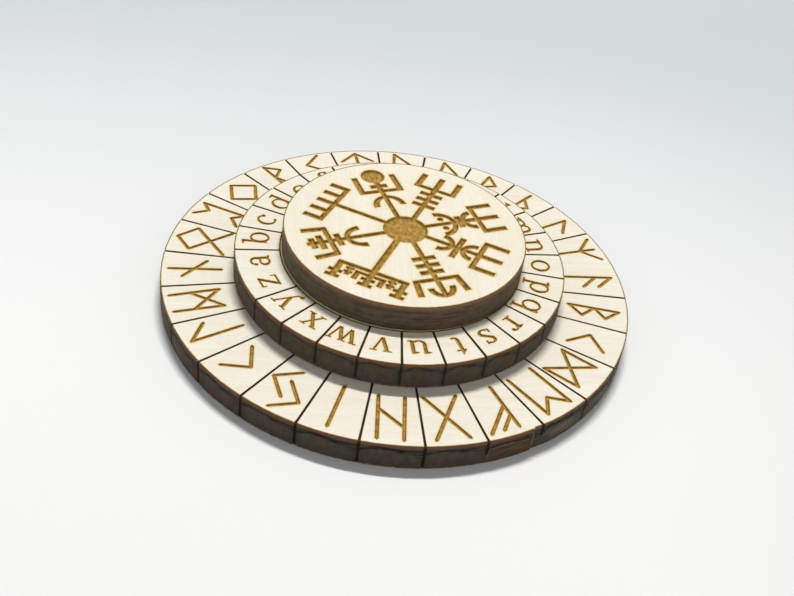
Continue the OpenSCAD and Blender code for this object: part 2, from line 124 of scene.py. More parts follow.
def mesh_from(name, points, triangles, slots=None, values=None):
    """A mesh object from an array of points in mm and an array of triangles. slots gives each triangle's
    material slot, and values gives numbers for each triangle's three corners, under their names."""
    mesh = bpy.data.meshes.new(name)
    mesh.vertices.add(len(points))
    mesh.vertices.foreach_set("co", (np.asarray(points) * MM).astype(np.float32).ravel())
    mesh.loops.add(len(triangles) * 3)
    mesh.loops.foreach_set("vertex_index", np.asarray(triangles, np.int32).ravel())
    mesh.polygons.add(len(triangles))
    mesh.polygons.foreach_set("loop_start", np.arange(0, len(triangles) * 3, 3, dtype=np.int32))
    if slots is not None:
        mesh.polygons.foreach_set("material_index", np.asarray(slots, np.int32))
    for key, corner_values in (values or {}).items():
        mesh.attributes.new(key, "FLOAT", "CORNER").data.foreach_set(
            "value", np.asarray(corner_values, np.float32).ravel())
    mesh.update()
    mesh.validate()
    mesh.set_sharp_from_angle(angle=SHARP)
    piece = bpy.data.objects.new(name, mesh)
    bpy.context.scene.collection.objects.link(piece)
    return piece


print("the grey #808080 is", round(linear("#808080")[0], 3), "in linear light")

# %% [markdown]
# What the frame says of the discs
#
# Every size below is measured on the frame, in mm: the three radii, the heights of the plies, the place of
# the top disc, which was glued a little off centre, and the widths of the bore and the pockets. Both rings
# are divided in 26, and each disc's first line lies along its own start angle.

# %% Measure the discs
PLACES = 26
PLIES = ("back_veneer", "lower_cross_ply", "core_ply", "upper_cross_ply", "face_veneer")
BODY_OF = {"outer": "outer_disc", "middle": "inner_discs", "top": "inner_discs"}
RING_START = {"outer": 0.0, "middle": math.radians(188.2), "top": math.radians(188.2)}


def points_of(node):
    """A CAD node's points in mm, as an array."""
    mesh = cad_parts[node].data
    co = np.empty(len(mesh.vertices) * 3, np.float32)
    mesh.vertices.foreach_get("co", co)
    return co.reshape(-1, 3).astype(float) / MM


def measure_disc(name):
    """Centre, radius and ply heights of a disc, and the profile of the hole through each of its plies, as
    radius and height from the underside up. A pocket's floor shows as two radii at one height."""
    outline = points_of(f"{name}_core_ply")
    centre = (outline[:, :2].min(0) + outline[:, :2].max(0)) / 2
    radius = np.hypot(*(outline[:, :2] - centre).T).max()
    heights, holes = [], []
    for ply in PLIES:
        co = points_of(f"{name}_{ply}")
        heights.append((co[:, 2].min(), co[:, 2].max()))
        reach = np.hypot(*(co[:, :2] - centre).T)
        wall = np.unique(np.round(np.column_stack([co[:, 2], reach])[reach < radius / 2], 2), axis=0)
        profile = []
        for z in np.unique(wall[:, 0]) if name != "top" else []:
            last = profile[-1][0] if profile else 0.0
            profile += [(r, z) for r in sorted(wall[wall[:, 0] == z, 1], key=lambda r: abs(r - last))]
        holes.append(profile)
    return {"centre": centre, "radius": radius, "heights": heights, "holes": holes,
            "base": heights[0][0], "top": heights[-1][1]}


DISCS = {name: measure_disc(name) for name in BODY_OF}
for name, disc in DISCS.items():
    print(name, "radius", round(disc["radius"], 2), "from", round(disc["base"], 2), "to",
          round(disc["top"], 2), "holes", [[float(r) for r, _ in hole] for hole in disc["holes"]])

# %% [markdown]
# Birch that a laser has burnt
#
# One number drives the whole finish: how far the laser has burnt the wood, from 0, clean birch, to 1,
# char. Clean rotary-cut birch is nearly white with a faint long grain. Where the beam only warmed it, the
# sugars turn pale gold; the bottom of an engraved stroke is a toasted brown; and a deep line is close to
# black. The sheets carry that number as an attribute, so the finish is one colour ramp over the grain. A
# second number, soot, lays the black of a deep cut's smoke over it.
#
# The grain is noise that is stretched along the wood: its coordinates are divided by the real length and
# width of one mark, so each pattern has the size of the real one.

# %% Birch, sanded and laser engraved
GRAIN_LENGTH = 18.0  # mm, the usual run of one pale streak
GRAIN_WIDTH = 0.55  # mm
PORE_LENGTH = 1.6  # mm, a vessel cut open along its length
PORE_WIDTH = 0.07  # mm, drawn as wide as the render can show
SPECKLE = 0.75  # mm across one fleck of toasted wood in an engraved floor
# For each pattern: how long and how wide one mark is, then the noise's detail, roughness and distortion
GRAIN = {"streak": (GRAIN_LENGTH, GRAIN_WIDTH, 3.0, 0.55, 0.3),
         "figure": (3 * GRAIN_LENGTH, 7 * GRAIN_WIDTH, 2.0, 0.5, 0.0),
         "pore": (PORE_LENGTH, PORE_WIDTH, 0.0, 0.5, 0.0),
         "speckle": (1.6 * SPECKLE, SPECKLE, 2.0, 0.5, 0.0)}
# What birch turns to as it burns, as factors on its clean colour
BURN_TONES = ((0.0, "#fffdf8"), (0.12, "#fbf0cf"), (0.3, "#e6c988"), (0.42, "#cba552"), (0.52, "#b48f40"),
              (0.64, "#94702f"), (0.76, "#6c5024"), (0.88, "#41331b"), (1.0, "#26231b"))
TOASTED = (0.3, 0.5)  # flecks show from the first burn on, and fully at the second
BIRCH_IOR, BIRCH_SHINE = 1.45, 0.35  # bare wood: closed by sanding, but not polished


def birch_finish(name, turn, shade, light, fleck):
    """Sanded birch veneer with its grain turned by an angle: rotary-cut, pale, half matt, from shade to
    light, with long faint streaks and short open vessels. The burn attribute takes it from clean wood
    through the toasted floor of a stroke, with flecks as strong as fleck says, to char. The soot attribute
    covers it."""
    material, tree, place = start_finish(name)
    burn, soot = (add(tree, "ShaderNodeAttribute", {"attribute_name": key}).outputs["Fac"]
                  for key in ("burn", "soot"))
    noise = {}
    for key, (along, across, detail, roughness, distortion) in GRAIN.items():
        spot = add(tree, "ShaderNodeMapping", {"vector_type": "TEXTURE"}, Vector=place,
                   Rotation=(0.0, 0.0, turn), Scale=(along * MM, across * MM, across * MM)).outputs[0]
        noise[key] = add(tree, "ShaderNodeTexNoise", Scale=1.0, Detail=detail, Roughness=roughness,
                         Distortion=distortion, Vector=spot).outputs["Fac"]

    # Clean wood: two tones in streaks, broad warm bands, and brown vessels
    colour = add(tree, "ShaderNodeMix", {"data_type": "RGBA"}, Factor=noise["streak"], in_6=linear(shade),
                 in_7=linear(light)).outputs[2]
    band = add(tree, "ShaderNodeMapRange", Value=noise["figure"], From_Min=0.35, From_Max=0.75, To_Min=0.0,
               To_Max=0.35).outputs[0]
    colour = add(tree, "ShaderNodeMix", {"data_type": "RGBA", "blend_type": "MULTIPLY"}, Factor=band,
                 in_6=colour, in_7=linear("#f3ebd8")).outputs[2]
    pores = add(tree, "ShaderNodeMapRange", Value=noise["pore"], From_Min=0.66, From_Max=0.78, To_Min=0.0,
                To_Max=1.0).outputs[0]
    brown = add(tree, "ShaderNodeMath", {"operation": "MULTIPLY"}, in_0=pores, in_1=0.35).outputs[0]
    colour = add(tree, "ShaderNodeMix", {"data_type": "RGBA"}, Factor=brown, in_6=colour,
                 in_7=linear("#c9ae84")).outputs[2]

    # Burnt wood: burn, made uneven by the flecks where the wood is toasted, picks the tone
    uneven = add(tree, "ShaderNodeMath", {"operation": "MULTIPLY_ADD"}, in_0=noise["speckle"], in_1=fleck,
                 in_2=-0.5 * fleck).outputs[0]
    touched = add(tree, "ShaderNodeMapRange", Value=burn, From_Min=TOASTED[0], From_Max=TOASTED[1],
                  To_Min=0.0, To_Max=1.0).outputs[0]
    level = add(tree, "ShaderNodeMath", {"operation": "MULTIPLY_ADD"}, in_0=uneven, in_1=touched,
                in_2=burn).outputs[0]
    ramp = add(tree, "ShaderNodeValToRGB", Fac=level)
    stops = ramp.color_ramp.elements
    stops[0].color, stops[1].color = linear(BURN_TONES[0][1]), linear(BURN_TONES[-1][1])
    for position, code in BURN_TONES[1:-1]:
        stops.new(position).color = linear(code)
    colour = add(tree, "ShaderNodeMix", {"data_type": "RGBA", "blend_type": "MULTIPLY"}, Factor=1.0,
                 in_6=colour, in_7=ramp.outputs["Color"]).outputs[2]
    colour = add(tree, "ShaderNodeMix", {"data_type": "RGBA"}, Factor=soot, in_6=colour,
                 in_7=linear("#2b2013")).outputs[2]

    # Burnt wood is drier. Streaks and flecks stand up a little, and vessels lie low
    rough = add(tree, "ShaderNodeMapRange", Value=burn, From_Min=0.0, From_Max=0.6, To_Min=0.52,
                To_Max=0.85).outputs[0]
    veins = add(tree, "ShaderNodeMath", {"operation": "MULTIPLY_ADD"}, in_0=pores, in_1=-0.4,
                in_2=noise["streak"]).outputs[0]
    relief = add(tree, "ShaderNodeMath", {"operation": "MULTIPLY_ADD"}, in_0=noise["speckle"], in_1=touched,
                 in_2=veins).outputs[0]
    bump = add(tree, "ShaderNodeBump", Strength=0.35, Distance=0.04 * MM, Height=relief).outputs["Normal"]
    shader = add(tree, "ShaderNodeBsdfPrincipled", Base_Color=colour, Roughness=rough, Normal=bump,
                 IOR=BIRCH_IOR, Specular_IOR_Level=BIRCH_SHINE)
    add(tree, "ShaderNodeOutputMaterial", Surface=shader.outputs["BSDF"])
    return material


# For each disc: how far its grain is turned from the X axis in degrees, as the three were cut from the sheet
# at different angles, the darker and the lighter tone of its streaks, and how strong its flecks are
BIRCH = {"outer": (4.0, "#e8e3d6", "#f8f5ee", 0.5), "middle": (8.0, "#e8e3d6", "#f8f5ee", 0.5),
         "top": (95.0, "#e6e2d5", "#f6f3ec", 0.62)}
FACE_FINISH = {name: birch_finish(f"birch_engraved_{name}", math.radians(turn), *tones)
               for name, (turn, *tones) in BIRCH.items()}
print("face finishes", [finish.name for finish in FACE_FINISH.values()])

# %% [markdown]
# Birch that the cut has charred
#
# The rim is where the beam went right through the sheet. It is charcoal over brown wood, dry and matt. Its
# marks aren't random: there is a black line under each dividing line, a wavy tide mark where the smoke was
# drawn off, and a warm lip at the top. Painting them would need a picture. Here each mark is a distance in
# mm that the mesh carries as an attribute, and the material only says what colour each distance has. A
# little noise, added to the distances, makes the borders wander as they do on the real rim.

# %% Birch, charred through by the cut
RIM_MARKS = ("drop", "line", "tide", "fresh_and_lit", "glint_and_bare")
LINE_HALF = 0.24  # mm, half the width of a black line down the rim
TIDE_HALF = 0.2  # mm, half the width of a tide mark
# For each pattern: how far one patch runs round the rim and how high it is, in mm, and the noise's detail
CHAR_PATTERNS = {"patches": (1.4, 1.4, 3.0), "streaks": (0.26, 2.6, 2.0), "layers": (7.0, 0.24, 2.0),
                 "wander": (0.9, 0.9, 1.0), "hue": (4.5, 1.8, 1.0)}
CHAR_ROUGHNESS, CHAR_SHINE = 0.7, 0.1


def charred_finish(name, char, brown, warm, lip, upright, level, ink):
    """The rim of laser-cut birch ply. Its marks come as attributes, in mm: drop is how far below the top
    edge a spot lies, line how far from a black line, and tide how far below the tide mark, while the last two
    are shares of 1. Above the tide mark the char is a cool grey, below it brown and finely streaked
    upright; the top edge has a warm lip that is lip mm high. Where the fourth mark is below a half, the char
    gives way to a paler worn wood's colour, which is painted light on the lower rim, and above a half the
    wood is barely burnt. The fifth lays a pale tan, as a painted highlight at the step where the cut ended
    and as bare torn wood. upright and level say how much of the upright streaks and of the plies' level
    lines shows, and ink how black the lines and the tide marks are."""
    material, tree, place = start_finish(name)
    drop, line, tide, fresh_and_lit, glint_and_bare = (add(tree, "ShaderNodeAttribute", {"attribute_name": key}).outputs["Fac"]
                                     for key in RIM_MARKS)
    noise = {}
    for key, (along, up, detail) in CHAR_PATTERNS.items():
        spot = add(tree, "ShaderNodeMapping", {"vector_type": "TEXTURE"}, Vector=place,
                   Scale=(along * MM, along * MM, up * MM)).outputs[0]
        noise[key] = add(tree, "ShaderNodeTexNoise", Scale=1.0, Detail=detail, Roughness=0.6,
                         Vector=spot).outputs["Fac"]

    # Char above the tide mark and beside the lines, brown below
    below, clear = (add(tree, "ShaderNodeMapRange", Value=value, From_Min=low, From_Max=high).outputs[0]
                    for value, low, high in ((tide, -0.15, 0.6), (line, 0.3, 1.4)))
    both = add(tree, "ShaderNodeMath", {"operation": "MULTIPLY"}, in_0=below, in_1=clear).outputs[0]
    colour = add(tree, "ShaderNodeMix", {"data_type": "RGBA"}, Factor=both, in_6=linear(char),
                 in_7=linear(brown)).outputs[2]

    # Glazes over it, each where its noise goes from a first level to a second: redder, blacker and streaked
    # patches, and the light and dark lines of the plies
    glazes = (("hue", 0.42, 0.65, 0.55, "#583f31"), ("patches", 0.38, 0.7, 0.4, "#2c2b25"),
              ("streaks", 0.5, 0.8, upright, "#7b7160"), ("layers", 0.5, 0.75, level, "#7d6a52"),
              ("layers", 0.48, 0.3, level, "#3a3024"))
    for key, low, high, most, code in glazes:
        share = add(tree, "ShaderNodeMapRange", Value=noise[key], From_Min=low, From_Max=high, To_Min=0.0,
                    To_Max=most).outputs[0]
        colour = add(tree, "ShaderNodeMix", {"data_type": "RGBA"}, Factor=share, in_6=colour,
                     in_7=linear(code)).outputs[2]

    # Barely burnt wood, and a paler worn wood's colour that is painted light on the lower rim, both with the
    # plies' lines
    woods = []
    for low, high, dark, light in ((0.4, 0.66, "#35271d", "#70543a"), (0.42, 0.6, "#35322a", "#978c74")):
        share = add(tree, "ShaderNodeMapRange", Value=noise["layers"], From_Min=low,
                    From_Max=high).outputs[0]
        woods.append(add(tree, "ShaderNodeMix", {"data_type": "RGBA"}, Factor=share, in_6=linear(dark),
                         in_7=linear(light)).outputs[2])
    raw = add(tree, "ShaderNodeMapRange", Value=fresh_and_lit, From_Min=0.5, From_Max=0.8).outputs[0]
    wood = add(tree, "ShaderNodeMix", {"data_type": "RGBA"}, Factor=raw, in_6=woods[1],
               in_7=woods[0]).outputs[2]
    bare = add(tree, "ShaderNodeMath", {"operation": "MULTIPLY"}, in_0=fresh_and_lit, in_1=0.85).outputs[0]
    colour = add(tree, "ShaderNodeMix", {"data_type": "RGBA"}, Factor=bare, in_6=colour,
                 in_7=wood).outputs[2]

    # The lip, the tide mark and the black lines: the wandering noise shifts each distance by up to half of
    # shift to either side, and the result says how much of the mark's colour shows
    faint = add(tree, "ShaderNodeMapRange", Value=noise["patches"], From_Min=0.35, From_Max=0.7,
                To_Min=0.95 * ink, To_Max=0.7 * ink).outputs[0]
    strokes = ((drop, -0.6 * lip, 0.95, 1.15 * lip, 0.25 * lip, warm),
               (tide, 0.3, faint, 1.6 * TIDE_HALF, 0.6 * TIDE_HALF, "#171612"),
               (line, 0.16, 0.95 * ink, 1.5 * LINE_HALF, 0.8 * LINE_HALF, "#121310"))
    for distance, shift, most, low, high, code in strokes:
        centred = add(tree, "ShaderNodeMath", {"operation": "ADD"}, in_0=distance,
                      in_1=-0.5 * shift).outputs[0]
        moved = add(tree, "ShaderNodeMath", {"operation": "MULTIPLY_ADD"}, in_0=noise["wander"], in_1=shift,
                    in_2=centred).outputs[0]
        if distance is tide:
            moved = add(tree, "ShaderNodeMath", {"operation": "ABSOLUTE"}, in_0=moved).outputs[0]
        shown = add(tree, "ShaderNodeMapRange", Value=moved, From_Min=low, From_Max=high).outputs[0]
        shown = add(tree, "ShaderNodeMath", {"operation": "MULTIPLY"}, in_0=shown, in_1=most).outputs[0]
        colour = add(tree, "ShaderNodeMix", {"data_type": "RGBA"}, Factor=shown, in_6=colour,
                     in_7=linear(code)).outputs[2]
    # A pale tan over the rim: a painted highlight along the step where the cut ended, and bare torn wood at
    # the frayed lower edge
    colour = add(tree, "ShaderNodeMix", {"data_type": "RGBA"}, Factor=glint_and_bare, in_6=colour,
                 in_7=linear("#b59c69")).outputs[2]

    bump = add(tree, "ShaderNodeBump", Strength=0.5, Distance=0.05 * MM,
               Height=noise["streaks"]).outputs["Normal"]
    shader = add(tree, "ShaderNodeBsdfPrincipled", Base_Color=colour, Roughness=CHAR_ROUGHNESS, Normal=bump,
                 Specular_IOR_Level=CHAR_SHINE)
    add(tree, "ShaderNodeOutputMaterial", Surface=shader.outputs["BSDF"])
    return material


# For each disc: the char, the brown below the tide mark and the lip, how high the lip is in mm, and how much
# of the upright streaks, of the plies' lines and of the black marks shows
CHARRED = {"outer": ("#403d34", "#4b463b", "#734f3c", 0.85, 0.22, 0.0, 1.0),
           "middle": ("#48443b", "#504a3f", "#77543f", 1.0, 0.22, 0.0, 0.7),
           "top": ("#5f5646", "#5f5646", "#83634a", 1.05, 0.1, 0.6, 0.0)}
EDGE_FINISH = {name: charred_finish(f"birch_charred_{name}", *tones) for name, tones in CHARRED.items()}
print("rim finishes", [finish.name for finish in EDGE_FINISH.values()])

# %% [markdown]
# The burnt rim
#
# A laser cuts ply in one slow pass. The rim it leaves is never quite plain: fine upright ridges from the
# beam's pulses, a burnt groove below each dividing line, a wavy tide mark in each place where the smoke
# was drawn off, a warm brown lip at the top and loose fibres at the bottom. The relief is a depth below
# the true radius, so the wheel never grows past its real size, and it is worked out for a whole grid of
# angles and heights at once.

# %% Relief and marks of the rims
RIM_STEPS = {"outer": PLACES * 60, "middle": PLACES * 42, "top": 800}
RIM_ROWS = 6  # rows of points up each ply
RIM_LEAST = 0.02  # mm, so that the relief never comes out past the true rim
RIDGE, SWELL = 0.05, 0.03  # mm that the fine upright ridges and the slow unevenness take off at most
TORN_DEEP, TORN_HIGH = 0.12, 0.3  # mm that the lower edge is torn back, and how far up that reaches
EASED_DEEP, EASED_HIGH = 0.04, 0.12  # mm, the same for the slightly eased upper edge
GROOVE_HALF = 0.17  # mm, half the width of the groove under a black line
GROOVE_DEEP = 0.14  # mm
NO_MARK = 9.0  # mm, farther from a line or a tide mark than any of them shows
CHIP_AT = math.radians(302.3)  # where the outer disc's cut began and ended
CHIP_STEP = 0.2  # mm that the cut's end stands back from its beginning
# The pale chip is a painted highlight on the step's edge
CHIP_HALF = 0.13  # mm, half the width of the pale chip between the two
FRESH_FROM = 21  # the number of the line at which the browner stretch before the chip starts
# Two stretches of the outer rim, in radians, where the lower rim is painted paler with a worn wood's colour:
# painted light from the side and from below
PAINTED_LIGHT_RIGHT, PAINTED_LIGHT_LEFT = (CHIP_AT, 6.15), (3.2, 3.85)  # radians, two stretches where the char is worn thin
STEP = 2 * math.pi / PLACES

# Where the tide mark stands in a place: at its first line, at its highest and at its last line, as shares
# of the thickness from the top down. The places that show from the front are read off the photograph. The
# others get the usual height, and stray from it by up to TIDE_STRAY.
SEEN_TIDES = {15: (0.3, 0.12, 0.7), 16: (0.3, 0.14, 0.66), 17: (0.38, 0.33, 0.6), 18: (0.3, 0.14, 0.42),
              19: (0.3, 0.14, 0.33), 20: (0.36, 0.2, 0.22), 21: (0.3, 0.27, 0.24), 22: (0.2, 0.17, 0.22),
              23: (0.22, 0.18, 0.24), 24: (0.24, 0.18, 0.22)}
USUAL_TIDE, TIDE_STRAY = (0.28, 0.14, 0.3), (0.12, 0.14, 0.25)
TIDE_RISE = 0.3  # the share of a place over which the mark rises to its height
TIDE_MIDDLE = 0.25  # mm that the middle disc's tide marks stand higher
# The lines that end half-way down, by number, and how far down they reach, in mm
SHORT_LINES = {21: 3.0, 22: 2.6}
NO_LINE = 1  # the number of the line that both rings lack
MIDDLE_REACH = 0.85  # the share of the thickness that the middle disc's black lines run down


def ring_noise(angle, waves, seed):
    """Smooth noise round a ring: waves random numbers evenly round it, joined by a smooth step."""
    knots = np.random.default_rng(seed).random(waves)
    where = (angle / (2 * math.pi) % 1.0) * waves
    low = np.floor(where).astype(int) % waves
    t = where - np.floor(where)
    t = t * t * (3 - 2 * t)
    return knots[low] * (1 - t) + knots[(low + 1) % waves] * t


def frayed_outer(angle):
    """How much of the outer disc's lower edge is frayed: all of it along the front left, and little
    elsewhere."""
    swept = np.degrees(angle) % 360
    return np.clip((swept - 215) / 15, 0, 1) * np.clip((300 - swept) / 25, 0, 1)


FRAYED = {"outer": frayed_outer, "middle": lambda angle: 0.4 + 0 * angle}


def tide_marks(name, angle):
    """How far below the top the tide mark stands at each angle, as a share of the thickness. Within a
    place it eases up from its start to its height over the first third, and then falls ever faster to its
    end."""
    usual = np.random.default_rng(8).random((3, PLACES)).T * TIDE_STRAY + USUAL_TIDE
    for place, heights in SEEN_TIDES.items() if name == "outer" else ():
        usual[place] = heights
    turn = (angle - RING_START[name]) / STEP
    # Over a grid of angles the heights come in the order of the turned grid. So each row of a ply takes its
    # heights from other places, and below the face veneer the marks are ragged and not true to their place
    start, peak, end = usual[np.floor(turn).astype(int) % PLACES].T.reshape(3, *np.shape(angle))
    share = turn % 1.0
    rise = np.clip(share / TIDE_RISE, 0, 1)
    fall = np.clip((share - TIDE_RISE) / (1 - TIDE_RISE), 0, 1)
    return start + (peak - start) * rise * rise * (3 - 2 * rise) + (end - peak) * fall ** 1.7


def tear_outer(angle, height, drop, depth, tide):
    """What only the outer rim has. Its cut ended where it began, and the end stands a little back; beside it
    a narrow pale line is a painted highlight on the step. The stretch before the step is barely burnt wood
    with a ragged tide mark, and at the right and the left the lower rim is painted paler, as painted light
    from the side and from below."""
    swept = angle % (2 * math.pi) + 0.0012 * np.sin(3 * height)
    fresh_and_lit = np.clip((swept - FRESH_FROM * STEP) / 0.015, 0, 1) * (swept < CHIP_AT)
    # Painted light: low on the rim at the right and the left, the char gives way to a paler wood colour
    right = np.clip((swept - PAINTED_LIGHT_RIGHT[0]) / 0.12, 0, 1) * np.clip((PAINTED_LIGHT_RIGHT[1] - swept) / 0.1, 0, 1)
    left = 0.7 * np.clip((swept - PAINTED_LIGHT_LEFT[0]) / 0.1, 0, 1) * np.clip((PAINTED_LIGHT_LEFT[1] - swept) / 0.2, 0, 1)
    fresh_and_lit = np.maximum(fresh_and_lit, 0.45 * np.maximum(right, left) * np.clip((drop - 1.6) / 1.2, 0, 1))
    torn = np.clip((swept - FRESH_FROM * STEP) / 0.1, 0, 1)
    tide = tide * (1 - 0.4 * torn) + 0.45 * torn * (ring_noise(angle, 520, 21) - 0.5)
    behind = np.clip(1 - (swept - CHIP_AT) / 0.09, 0, 1) * (swept >= CHIP_AT)
    depth = np.maximum(depth + CHIP_STEP * behind - 0.03 * fresh_and_lit, RIM_LEAST)
    # Painted highlight: a narrow pale line on the lower rim along the step where the cut ended
    away = (swept - CHIP_AT) * DISCS["outer"]["radius"] / CHIP_HALF
    glint_and_bare = 0.8 * np.exp(-away ** 2) * np.clip(drop / 1.2 - 0.6, 0, 1)
    return depth, tide, fresh_and_lit, glint_and_bare


def rim_facts(name, angle, height):
    """For angles in radians and heights in mm above the disc's underside: how far the rim lies inside its
    true radius in mm, and the charred finish's marks, stacked last. The groove under a line is a bell
    curve of the distance from the line."""
    disc = DISCS[name]
    thick = disc["top"] - disc["base"]
    drop = thick - height
    ridges = ring_noise(angle, RIM_STEPS[name] // 3, 3)
    uneven = ring_noise(angle, 90, 5)
    frayed = ring_noise(angle, RIM_STEPS[name] // 2, 12)
    depth = RIM_LEAST + RIDGE * ridges + SWELL * uneven
    depth = depth + TORN_DEEP * (0.4 + 0.6 * frayed) * np.clip(1 - height / TORN_HIGH, 0, 1)
    depth = depth + EASED_DEEP * np.clip(1 - drop / EASED_HIGH, 0, 1)
    line, tide = np.full(depth.shape, NO_MARK), np.full(depth.shape, NO_MARK)
    fresh_and_lit, glint_and_bare = np.zeros(depth.shape), np.zeros(depth.shape)
    if name != "top":
        turn = (angle - RING_START[name]) / STEP
        number = np.round(turn).astype(int) % PLACES
        reach = np.full(PLACES, thick if name == "outer" else MIDDLE_REACH * thick)
        for index, down in SHORT_LINES.items() if name == "outer" else ():
            reach[index] = down
        line = np.abs(turn - np.round(turn)) * STEP * disc["radius"]
        # Below its end a line tapers off, and the short ones are a little wider
        line = line + 0.6 * np.maximum(drop - reach[number], 0) - 0.08 * (reach[number] < 0.6 * thick)
        line = np.where(number == NO_LINE, NO_MARK, line)
        depth = depth + GROOVE_DEEP * np.exp(-(line / GROOVE_HALF) ** 2) * np.clip(drop / 0.1, 0, 1)
        tide = drop - thick * tide_marks(name, angle)
    if name == "middle":
        tide = tide + TIDE_MIDDLE
    if name == "outer":
        depth, tide, fresh_and_lit, glint_and_bare = tear_outer(angle, height, drop, depth, tide)
    if name != "top":
        # Bare torn wood at the frayed lower edge, in the same mark as the painted highlight at the step
        bare = 0.6 * frayed * np.clip(1 - height / 0.4, 0, 1) * (0.3 + 0.7 * FRAYED[name](angle))
        glint_and_bare = np.maximum(glint_and_bare, bare)
    return depth, np.stack([drop + 0 * depth, line, tide, fresh_and_lit, glint_and_bare], -1)


for name, disc in DISCS.items():
    round_angle = np.linspace(0, 2 * math.pi, RIM_STEPS[name])
    deepest = max(rim_facts(name, round_angle, height)[0].max() for height in (0.0, 1.0, 3.0, 5.0))
    print(name, "rim lies at most", round(float(deepest), 2), "mm inside its true radius")

# %% [markdown]
# A plain ply
#
# A ply is a flat ring of wood. Its section is a small profile: up the inner wall, out along the top, down
# the rim and back along the underside. Carried once round the axis, the profile gives a grid, angle by
# profile, and the rim's relief is taken off the radius as the grid is made. The flat faces are only two
# rings of points wide, since nothing of them shows but the underside of the wheel.

# %% Build a plain ply
PLY_RINGS = (0.45, 1.2)  # mm from the rim to the two rings of points on a flat face
PLY_BURN = 0.62  # how burnt a flat face is at the rim
PLY_SCORCH = 0.04  # and at the first ring
FAN = 0.5  # mm, the radius of the ring round a fan's middle


def grid_triangles(rows, columns, closed):
    """Two triangles for each cell of a grid of rows by columns of points, wrapped round in the second
    direction, and in the first one too if closed."""
    i, j = np.meshgrid(np.arange(rows if closed else rows - 1), np.arange(columns), indexing="ij")
    a = i * columns + j
    b = i * columns + (j + 1) % columns
    c = (i + 1) % rows * columns + (j + 1) % columns
    d = (i + 1) % rows * columns + j
    return np.concatenate([np.stack([a, b, c], -1).reshape(-1, 3), np.stack([a, c, d], -1).reshape(-1, 3)])


def rim_angles(name):
    """The angles of a rim's points: even steps round, from the disc's start angle."""
    return RING_START[name] + np.arange(RIM_STEPS[name]) / RIM_STEPS[name] * 2 * math.pi


def build_ply(name, index):
    """A ply as a closed ring: the profile's points carried round the axis, with the rim's relief. A ply
    without a hole is closed by a fan on either side."""
    disc = DISCS[name]
    low, high = disc["heights"][index]
    angle = rim_angles(name)
    steps = len(angle)
    rise = np.linspace(low, high, RIM_ROWS)
    hole = disc["holes"][index] or [(FAN, low), (FAN, high)]
    depth, marks = rim_facts(name, angle[None, :] + 0 * rise[:, None],
                             rise[:, None] - disc["base"] + 0 * angle[None, :])
    rim = disc["radius"] - depth
    near, far = (disc["radius"] - inset for inset in PLY_RINGS)
    rings = [(far, low), (near, low)] + [(rim[k], rise[k]) for k in range(RIM_ROWS)]
    rings += [(near, high), (far, high)] + hole[::-1]
    reach = np.stack([r + 0 * angle for r, _ in rings])
    level = np.array([z for _, z in rings])[:, None] + 0 * angle
    points = np.stack([disc["centre"][0] + reach * np.cos(angle), disc["centre"][1] + reach * np.sin(angle),
                       level], -1).reshape(-1, 3)
    triangles = grid_triangles(len(rings), steps, True)
    if not disc["holes"][index]:
        ring = np.arange(steps)
        ahead = (ring + 1) % steps
        high_ring, low_ring, middle = len(points) - 2 * steps, len(points) - steps, len(points)
        triangles = triangles[(triangles < high_ring).any(1)]
        points = np.vstack([points, [*disc["centre"], low], [*disc["centre"], high]])
        triangles = np.vstack([triangles,
                               np.stack([middle + 0 * ring, low_ring + ahead, low_ring + ring], -1),
                               np.stack([middle + 1 + 0 * ring, high_ring + ring, high_ring + ahead], -1)])

    # The rim's points carry its marks, and the flat faces turn brown towards it
    first, final = 2 * steps, (2 + RIM_ROWS) * steps
    on_rim = ((triangles >= first) & (triangles < final)).all(1)
    burn_of = np.zeros(len(points))
    burn_of[steps:first] = burn_of[final:final + steps] = PLY_SCORCH
    burn_of[first:first + steps] = burn_of[final - steps:final] = PLY_BURN
    marks_of = np.zeros((len(points), len(RIM_MARKS)))
    marks_of[first:final] = marks.reshape(-1, len(RIM_MARKS))
    values = {"burn": burn_of[triangles]}
    values.update({key: marks_of[triangles, k] for k, key in enumerate(RIM_MARKS)})
    return mesh_from(f"{name}_{PLIES[index]}_burnt", points, triangles, on_rim.astype(int), values)


def put_in_place(piece, name, node):
    """The piece gets its disc's two finishes, rides on the disc's body and stands for its CAD node."""
    piece.data.materials.append(FACE_FINISH[name])
    piece.data.materials.append(EDGE_FINISH[name])
    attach(piece, BODY_OF[name])
    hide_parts(node)


for name in DISCS:
    for index, ply in enumerate(PLIES[:-1]):
        piece = build_ply(name, index)
        put_in_place(piece, name, f"{name}_{ply}")
        print(piece.name, len(piece.data.polygons), "triangles")

# %% [markdown]
# An engraved face
#
# The face veneer is a terrace: a flat top with sunken floors at a few depths and upright walls between
# them. The frame's own face holds the exact outlines of every stroke, but its triangles are long slivers,
# with nowhere to keep how burnt the wood is beside a stroke. So the outlines are read off the frame first:
# they are the edges that belong to one flat triangle only, among all those at one height.

